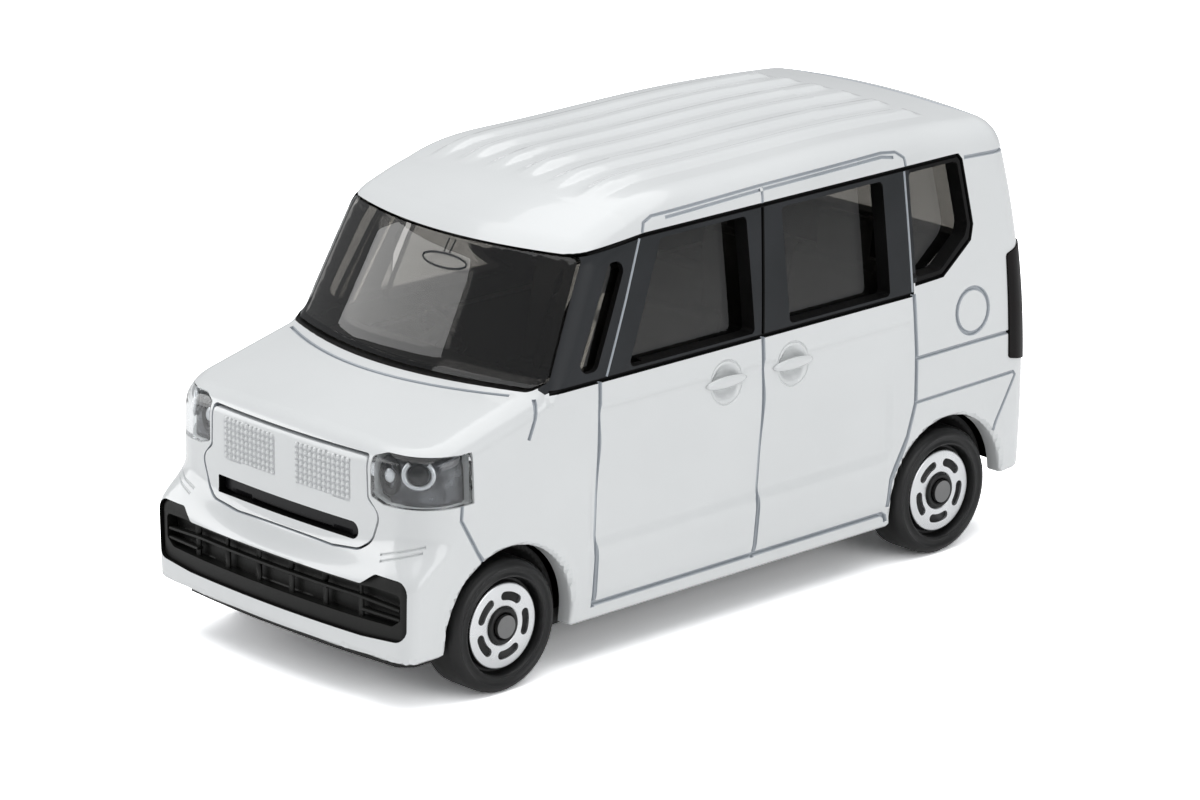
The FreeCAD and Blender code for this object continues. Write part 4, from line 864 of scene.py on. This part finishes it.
black_styrene = finish_material(
    "black_styrene", (0.014, 0.014, 0.014), (0.020, 0.020, 0.019), (0.45, 0.6), bump=0.15,
    specular=0.25)
settle(smooth_copy("seat_moulding", "seat_tub", black_styrene), "seat_moulding")

# The door handles: two cast bars a side, each pointed at its ends and standing across the
# hollow pressed in the door behind it.

HANDLE_HALF = 1.9
HANDLE_SECTION = (0.24, 0.42)


def handle_bar(place, side):
    """The rings of one handle: a lens-shaped bar along the van, laid just proud of the door."""
    rings, around = 15, 10
    middle = laid_on(((place, HANDLE_HEIGHT),), 0, *SIDE_REACH)[0]
    bar = []
    for ring in range(rings):
        along = HANDLE_HALF * (2 * ring / (rings - 1) - 1)
        swell = math.sqrt(max(0.03, 1 - (along / HANDLE_HALF) ** 2))
        turns = [math.tau * step / around for step in range(around)]
        bar.append([(
            side * (middle[0] - 0.02 + HANDLE_SECTION[0] * swell * math.cos(turn)), place + along,
            HANDLE_HEIGHT + 0.02 + HANDLE_SECTION[1] * swell * math.sin(turn)) for turn in turns])
    return bar


handle_mesh = tubes(
    "door_handles", [handle_bar(place, side) for place in HANDLE_PLACES for side in (1, -1)])
handle_mesh.shade_smooth()
settle(piece_from("door_handles", handle_mesh, white_enamel))

# The grille panel: a white moulding let into the nose between the lamps, its upper half
# covered with small raised dots, and a long air slot closed from behind by a black bar.

PANEL_TOP, PANEL_PLAY = 16.72, 0.13
PANEL_SLOT = ((-7.1, 10.95), (6.9, 10.95), (6.9, 12.15), (-7.1, 12.15))


def front_layer(name, outer, inner, low, high, cell=0.3):
    """A part of the body's form between two depths, cut off square at the given corners."""
    def field(x, y, z):
        depth = body_block(x, y, z)
        return np.maximum.reduce((
            depth + outer, -depth - inner, low[0] - x, x - high[0], low[2] - z, z - high[2],
            low[1] - y, y - high[1]))
    margin = 0.7
    return skin_of(name, field, np.array(low) - margin, np.array(high) + margin, cell)


# The ground between the dots is a greyer white: painted shade between the raised dots.
shade_between_dots = finish_material(
    "shade_between_dots", (0.56, 0.57, 0.58), (0.60, 0.61, 0.62), (0.3, 0.4), patch=90.0, bump=0.02)
panel_solid = front_layer("panel_solid", 0.0, 0.9, (-9.8, -30.4, 9.4), (9.8, -26.4, 17.6))
for material in (white_enamel, black_and_painted_shade, shade_between_dots):
    panel_solid.materials.append(material)
panel_edge = [(x, min(z, PANEL_TOP)) for x, z in grown(PANEL_OUTLINE, -PANEL_PLAY)]
panel_solid = trimmed(panel_solid, panel_edge, PANEL_RADII, 1, (-31.5, -26.0))
panel_slot = through_front("panel_slot", PANEL_SLOT, (0.12, 0.58, 0.58, 0.12), -26.0)
panel_solid = less(panel_solid, with_index(panel_slot, 1))
for start, end in ((-6.5, -1.05), (0.85, 6.25)):
    pocket = front_layer("dot_pocket", -0.4, 0.05, (start, -31.0, 13.4), (end, -26.4, 16.45), 0.25)
    panel_solid = less(panel_solid, with_index(pocket, 2))
lay_in("grille_panel_white", panel_solid, None, "white_paint", "grille_panel", 0.0, 0.05, 0.9)


def node_tree(name, inputs, material, build):
    """Geometry nodes with named inputs: what a function builds, made real and painted."""
    tree = bpy.data.node_groups.new(name, "GeometryNodeTree")
    geometry = {"Geometry": "Geometry"}
    for direction, entries in (("INPUT", {**geometry, **inputs}), ("OUTPUT", geometry)):
        for entry, kind in entries.items():
            tree.interface.new_socket(entry, in_out=direction, socket_type="NodeSocket" + kind)
    made = tree.nodes
    outside, result = made.new("NodeGroupInput"), made.new("NodeGroupOutput")
    real, painted = made.new("GeometryNodeRealizeInstances"), made.new("GeometryNodeSetMaterial")
    put(painted, {"Material": material})
    last, output = build(made, tree.links, outside)
    wire(tree.links, (last, output, real, "Geometry"), (real, "Geometry", painted, "Geometry"),
         (painted, "Geometry", result, "Geometry"))
    return tree


DOT_NARROWS = 0.55


def dot_nodes(made, links, outside):
    """A small round dot on every point of the mesh, narrower at its top."""
    dot, narrow = made.new("GeometryNodeMeshCone"), made.new("ShaderNodeMath")
    narrow.operation = "MULTIPLY"
    put(narrow, {1: DOT_NARROWS})
    spread = made.new("GeometryNodeInstanceOnPoints")
    put(spread, {"Rotation": (math.pi / 2, 0, 0)})
    wire(links, (outside, "Dot Radius", narrow, 0), (narrow, 0, dot, "Radius Top"),
         (outside, "Dot Radius", dot, "Radius Bottom"), (outside, "Dot Height", dot, "Depth"),
         (outside, "Sides", dot, "Vertices"), (outside, "Geometry", spread, "Points"),
         (dot, "Mesh", spread, "Instance"))
    return spread, "Instances"


def grown_by_nodes(name, mesh, tree, values):
    """The plain mesh that a node tree makes of a base mesh, with the tree's named values set."""
    holder = piece_from(name + "_base", mesh)
    step = holder.modifiers.new("nodes", "NODES")
    step.node_group = tree
    for socket in tree.interface.items_tree:
        if socket.in_out == "INPUT" and socket.name in values:
            step[socket.identifier] = values[socket.name]
    result = made_plain(holder)
    result.name = name
    holder.modifiers.remove(step)
    bpy.data.objects.remove(holder)
    return result


DOT_PITCH, DOT_RADIUS, DOT_HEIGHT = 0.44, 0.185, 0.13
dot_places = []
for start in (-6.2, 1.1):
    for column in range(12):
        for row in range(7):
            dot_places.append((start + column * DOT_PITCH, 13.7 + row * DOT_PITCH * 0.95))
dot_points = laid_on(dot_places, 1, *NOSE_REACH, spacing=9.0)
dots_mesh = grown_by_nodes(
    "grille_dots", mesh_from("dot_points", dot_points + (0, 0.04, 0), []),
    node_tree("grille_dots", {"Dot Radius": "Float", "Dot Height": "Float", "Sides": "Int"},
              white_enamel, dot_nodes),
    {"Dot Radius": DOT_RADIUS * MM, "Dot Height": DOT_HEIGHT * MM, "Sides": 8})
settle(piece_from("grille_dots", dots_mesh))

gloss_black = finish_material(
    "gloss_black", (0.005, 0.005, 0.006), (0.008, 0.008, 0.009), (0.28, 0.4), bump=0.06,
    specular=0.25)
bar_solid = front_layer("slot_solid", 0.45, 1.0, (-7.05, -30.0, 11.0), (6.85, -26.4, 12.1))
lay_in("slot_bar", bar_solid, gloss_black, "black_plastic", "intake_bar", 0.45, 1.0)

# The lower intake: a satin black moulding, sunk a little behind the bumper's edge, with a
# long blade across and short uprights above and below it in front of a closed back.

lattice_black = finish_material(
    "lattice_black", (0.007, 0.007, 0.006), (0.011, 0.011, 0.010), (0.40, 0.5), bump=0.12,
    specular=0.25)
frame_solid = front_layer("frame_solid", 0.3, 1.45, (-13.2, -30.6, 4.4), (13.2, -27.3, 10.2))
frame_solid = trimmed(frame_solid, grown(MOUTH_OUTLINE, -0.03), MOUTH_RADII, 1, (-31.5, -26.0))
RECESS = both_halves(
    (7.7, 6.25), (11.0, 6.3), (11.7, 6.8), (11.7, 8.5), (9.4, 8.6), (8.0, 8.5))
recess = front_layer("recess", -0.5, 1.1, (-12.4, -31.4, 6.0), (12.4, -27.0, 9.0))
recess = trimmed(recess, RECESS, 0.4, 1, (-31.5, -26.0))
lay_in("intake_lattice", less(frame_solid, recess), lattice_black, "black_plastic",
       "lower_grille", 0.3, 1.1, 1.45)


BAR_EASE = 0.05


def bar_nodes(made, links, outside):
    """A bar with eased corners that follows every run of edges of the mesh."""
    curve, upright, section, eased, tube = (made.new("GeometryNode" + kind) for kind in (
        "MeshToCurve", "SetCurveNormal", "CurvePrimitiveQuadrilateral", "FilletCurve",
        "CurveToMesh"))
    upright.mode = "Z_UP"
    put(eased, {"Radius": BAR_EASE * MM})
    put(tube, {"Fill Caps": True})
    wire(links, (outside, "Geometry", curve, "Mesh"), (curve, "Curve", upright, "Curve"),
         (outside, "Bar Depth", section, "Width"), (outside, "Bar Height", section, "Height"),
         (section, "Curve", eased, "Curve"), (upright, "Curve", tube, "Curve"),
         (eased, "Curve", tube, "Profile Curve"))
    return tube, "Mesh"


def bars(name, runs, material, height, depth):
    """A mesh of bars of one height and depth along lines of places."""
    tree = node_tree(name, {"Bar Height": "Float", "Bar Depth": "Float"}, material, bar_nodes)
    return grown_by_nodes(name, runs_of_edges(name + "_lines", runs), tree,
                          {"Bar Height": height * MM, "Bar Depth": depth * MM})


def runs_of_edges(name, runs):
    """A mesh of open lines of edges."""
    points, edges = [], []
    for run in runs:
        base = len(points)
        points.extend(run)
        edges.extend((base + i, base + i + 1) for i in range(len(run) - 1))
    mesh = bpy.data.meshes.new(name)
    mesh.from_pydata((np.asarray(points) * MM).tolist(), edges, [])
    return mesh


def sunk_line(places, depth):
    """A front line laid on the body and moved in under its surface."""
    line = laid_on(places, 1, *NOSE_REACH, spacing=0.6)
    return line - unit(slope_of(body_block, line)) * depth


BLADES_SUNK, UPRIGHTS_SUNK = 0.62, 0.75
blades = [sunk_line(places, BLADES_SUNK) for places in (
    ((-11.6, 7.45), (-8.0, 7.68), (8.0, 7.68), (11.6, 7.45)), ((8.3, 6.85), (11.6, 6.8)),
    ((-8.3, 6.85), (-11.6, 6.8)))]
uprights = [sunk_line(((across, 6.1), (across, 8.6)), UPRIGHTS_SUNK)
            for across in (-8.6, -5.3, -1.98, 1.33, 4.63, 7.93)]
blade_mesh = bars("blades", blades, lattice_black, height=0.2, depth=0.5)
upright_mesh = bars("uprights", uprights, lattice_black, height=0.2, depth=0.45)
settle(piece_from("intake_blades", blade_mesh))
settle(piece_from("intake_uprights", upright_mesh))

# The headlamps: a clear lens wrapped round each front corner, over a black block with a dark
# projector in a bright open ring and a small bright reflector towards the middle.

lamp_styrene = clear_material("lamp_styrene", (0.93, 0.945, 0.95), (0.95, 0.96, 0.96))
bright_lacquer = finish_material(
    "bright_lacquer", (0.74, 0.75, 0.77), (0.66, 0.67, 0.69), (0.2, 0.3), metallic=0.7, bump=0.03)
dark_lacquer = finish_material(
    "dark_lacquer", (0.05, 0.05, 0.055), (0.16, 0.165, 0.175), (0.18, 0.28), patch=900.0,
    metallic=0.9, bump=0.03)
for side, sign in (("left", 1), ("right", -1)):
    outline = [(sign * x, z) for x, z in LAMP_OUTLINE]
    low, high = sorted((sign * 7.6, sign * 13.6))
    lens = front_layer(f"lens_{side}", 0.02, 0.5, (low, -29.6, 13.3), (high, -24.0, 17.7), 0.22)
    lens = trimmed(lens, grown(outline, -0.05), 0.25, 1, (-31.5, -23.0))
    lay_in(f"lamp_lens_{side}", lens, lamp_styrene, "lamp_clear", f"headlamp_lens_{side}",
           0.02, 0.5)
    low, high = sorted((sign * 8.95, sign * 12.45))
    block = front_layer(f"block_{side}", 0.95, 1.7, (low, -29.0, 13.5), (high, -24.2, 17.4), 0.25)
    lay_in(f"lamp_block_{side}", block, dark_lacquer, "black_plastic", f"headlamp_inner_{side}",
           0.95, 1.7)


def arms_around(facing_out, turns):
    """Arms across a line that points outwards, one for each turn, and the outward way."""
    out = Vector(facing_out).normalized()
    across = out.cross(Vector((0, 0, 1))).normalized()
    up = across.cross(out)
    return out, [(across * math.cos(turn), up * math.sin(turn)) for turn in turns]


def ring_mesh(centre, facing_out, radius, tube, start, sweep, squash=1.0, closed=False):
    """Part of a round ring that faces outwards from the body."""
    steps, around = 40, 10
    turns = [start + sweep * step / steps for step in range(steps if closed else steps + 1)]
    out, arms = arms_around(facing_out, turns)
    rolls = [math.tau * part / around for part in range(around)]
    rings = [[Vector(centre) + (across + up * squash) * (radius + tube * math.cos(roll))
              + out * tube * math.sin(roll) for roll in rolls] for across, up in arms]
    return tubes("ring", [rings], closed)


def dome_mesh(centre, facing_out, radius, rise):
    """A shallow dome that faces outwards from the body."""
    rings, around = 8, 28
    out, arms = arms_around(facing_out, [math.tau * part / around for part in range(around)])
    points, faces = [], [tuple(reversed(range(around)))]
    for ring in range(rings):
        tip = math.pi / 2 * ring / rings
        points.extend(Vector(centre) + (across + up) * radius * math.cos(tip)
                      + out * rise * math.sin(tip) for across, up in arms)
    points.append(Vector(centre) + out * rise)
    for part in range(around):
        beside = (part + 1) % around
        for near in range(0, (rings - 1) * around, around):
            faces.append((near + part, near + beside, near + around + beside, near + around + part))
        faces.append(((rings - 1) * around + part, (rings - 1) * around + beside, len(points) - 1))
    return mesh_from("dome", points, faces)


def closed_piece(name, meshes, material):
    """One smooth piece of several small closed meshes."""
    mesh = shaded(faced_out(joined_meshes(name, meshes)), 50)
    settle(piece_from(name, mesh, material))


def sunk_place(across, high, depth):
    """A place on the nose, in under the surface, and the way out from there."""
    place = laid_on(((across, high),), 1, *NOSE_REACH)
    out = unit(slope_of(body_block, place))[0]
    return place[0] - out * depth, out


LAMP_DEPTH = 0.95
rings, domes, cups = [], [], []
for sign in (1, -1):
    projector, out = sunk_place(sign * 11.55, 16.1, LAMP_DEPTH)
    rings.append(ring_mesh(projector + out * 0.1, out, radius=0.92, tube=0.16,
                           start=math.radians(130), sweep=math.radians(280), squash=0.9))
    domes.append(dome_mesh(projector, out, radius=0.62, rise=0.35))
    reflector, out = sunk_place(sign * 9.0, 15.6, LAMP_DEPTH)
    cups.append(ring_mesh(reflector, out, radius=0.66, tube=0.16, start=0.0, sweep=math.tau,
                          squash=1.6, closed=True))
    rings.append(dome_mesh(reflector, out, radius=0.42, rise=0.12))
closed_piece("lamp_rings", rings, bright_lacquer)
closed_piece("lamp_projectors", domes + cups, gloss_black)

# The driving mirror: raised in outline on the inside of the windscreen, so it reads as a faint
# dark T through the smoked styrene.

MIRROR_PLACE, MIRROR_HALF = (1.6, 26.35), (2.0, 0.42)
mirror_loop = [(MIRROR_PLACE[0] + MIRROR_HALF[0] * math.cos(math.tau * step / 24),
                MIRROR_PLACE[1] + MIRROR_HALF[1] * math.sin(math.tau * step / 24))
               for step in range(25)]
mirror_runs = [laid_on(line, 1, -5.0, -25.0) + (0, 0.1, -0.1) for line in (
    mirror_loop, ((1.35, 26.85), (1.3, 27.65)), ((1.85, 26.85), (1.9, 27.65)))]
mirror_mesh = bars("driving_mirror", mirror_runs, pillar_print, height=0.18, depth=0.1)
settle(piece_from("driving_mirror", mirror_mesh))

# The tail lamps: upright near-black mouldings let into the rear corners, a little proud.

tail_styrene = finish_material(
    "tail_styrene", (0.006, 0.005, 0.005), (0.009, 0.006, 0.006), (0.4, 0.5), bump=0.03,
    specular=0.12)
tail_layer = front_layer("tail_layer", -0.12, 0.9, (-13.6, 26.3, 11.6), (13.6, 31.2, 22.3))
for side, span in (("left", (10.45, 14.5)), ("right", (-14.5, -10.45))):
    tail_solid = trimmed(tail_layer, grown(TAIL_LAMP, -0.05), 0.3, 0, span)
    lay_in(f"rear_lamp_{side}", tail_solid, tail_styrene, "tail_plastic", f"tail_lamp_{side}",
           -0.12, 0.9)

# The underside: a black base plate with wheel housings, and the steel axles in its cradles.

settle(smooth_copy("base_plate", "floor_plate", black_styrene), "base_plate")
plain_steel = finish_material(
    "plain_steel", (0.24, 0.24, 0.24), (0.19, 0.19, 0.19), (0.4, 0.5), metallic=1.0, bump=0.1)
for end in ("front", "rear"):
    axle = smooth_copy(f"axle_{end}", f"steel_axle_{end}", plain_steel, crease=14)
    settle(axle, f"axle_{end}")

# The wheels: each one black styrene moulding of tyre, sunk ring and hub, turned about its axle,
# with a bright stamped disc pressed into it that has five curved slots.

tyre_black = finish_material(
    "tyre_black", (0.007, 0.007, 0.007), (0.011, 0.011, 0.011), (0.30, 0.40), bump=0.06,
    specular=0.35)
bright_foil = finish_material(
    "bright_foil", (0.80, 0.81, 0.82), (0.74, 0.75, 0.76), (0.25, 0.33), metallic=0.85, bump=0.03)
TYRE_PROFILE = (
    (9.05, 0.66), (9.05, 3.95), (9.12, 4.22), (9.28, 4.44), (9.55, 4.57), (10.6, 4.58),
    (11.75, 4.58), (12.05, 4.53), (12.28, 4.38), (12.41, 4.17), (12.45, 4.02), (12.44, 3.96),
    (12.38, 3.90),
    (12.36, 3.70), (12.38, 3.56), (12.44, 3.50), (12.45, 3.43), (12.41, 3.37), (12.30, 3.32),
    (11.62, 3.26), (11.55, 3.20), (11.55, 2.98), (11.60, 2.93), (11.95, 2.90), (11.97, 2.84),
    (11.97, 1.30), (12.02, 1.26), (12.24, 1.24), (12.30, 1.18), (12.30, 0.98), (12.24, 0.90),
    (12.08, 0.86), (12.05, 0.80), (12.05, 0.66))
DISC_PROFILE = (
    (11.98, 1.29), (11.98, 2.86), (12.02, 2.90), (12.08, 2.91), (12.13, 2.87), (12.15, 2.80),
    (12.15, 1.40), (12.13, 1.33), (12.08, 1.29))
SLOT_COUNT = 5
FIRST_SLOTS = (math.radians(-4), math.radians(-90))  # of the front and the rear wheels
SLOT_RADII = (1.72, 2.32)
SLOT_SWEEP = math.radians(36)


def turned(name, profile, around=72):
    """A closed ring turned from a profile of places along and distances from the axle."""
    turns = [math.tau * step / around for step in range(around)]
    return tubes(name, [[[(x, r * math.cos(turn), r * math.sin(turn)) for x, r in profile]
                         for turn in turns]], closed=True)


def arc_slot(middle):
    """The outline of one curved slot with round ends, seen along the axle."""
    inner, outer = SLOT_RADII
    centre_line, half = (inner + outer) / 2, (outer - inner) / 2
    outline = []
    for radius, way, start in ((outer, 1, 0), (inner, -1, math.pi)):
        for step in range(9):
            turn = middle + way * SLOT_SWEEP / 2 * (step / 4 - 1)
            outline.append((radius * math.cos(turn), radius * math.sin(turn)))
        end = middle + way * SLOT_SWEEP / 2
        for step in range(1, 6):
            tip = end + start + math.pi * step / 6
            outline.append((centre_line * math.cos(end) + half * math.cos(tip),
                            centre_line * math.sin(end) + half * math.sin(tip)))
    return outline


def on_axle(name, mesh, axle, sign, sharp):
    """A wheel part moved to its axle and side, facing outwards."""
    part = mesh.copy()
    part.name = name
    part.transform(Matrix.Translation((0, axle * MM, TYRE_RADIUS * MM))
                   @ Matrix.Diagonal((sign, 1, 1, 1)))
    return shaded(faced_out(part), sharp)


tyre_ring = turned("tyre_ring", TYRE_PROFILE)
for end, axle, start in zip(("front", "rear"), AXLE_PLACES, FIRST_SLOTS):
    outlines = [arc_slot(start + math.tau * number / SLOT_COUNT) for number in range(SLOT_COUNT)]
    slots = prisms("slots", outlines, 0, ((11.5, 12.6),))
    disc_ring = less(turned("disc_ring", DISC_PROFILE), slots)
    for side, sign in (("left", 1), ("right", -1)):
        wheel = f"{end}_{side}"
        for part, ring, sharp, material, slot, node in (
                ("tyre", tyre_ring, 60, tyre_black, "wheel_black", "wheel"),
                ("disc", disc_ring, 50, bright_foil, "bright_foil", "wheel_face")):
            name = f"{part}_{wheel}"
            settle(piece_from(name, on_axle(name, ring, axle, sign, sharp), material),
                   f"{node}_{wheel}", f"wheel_{wheel}")
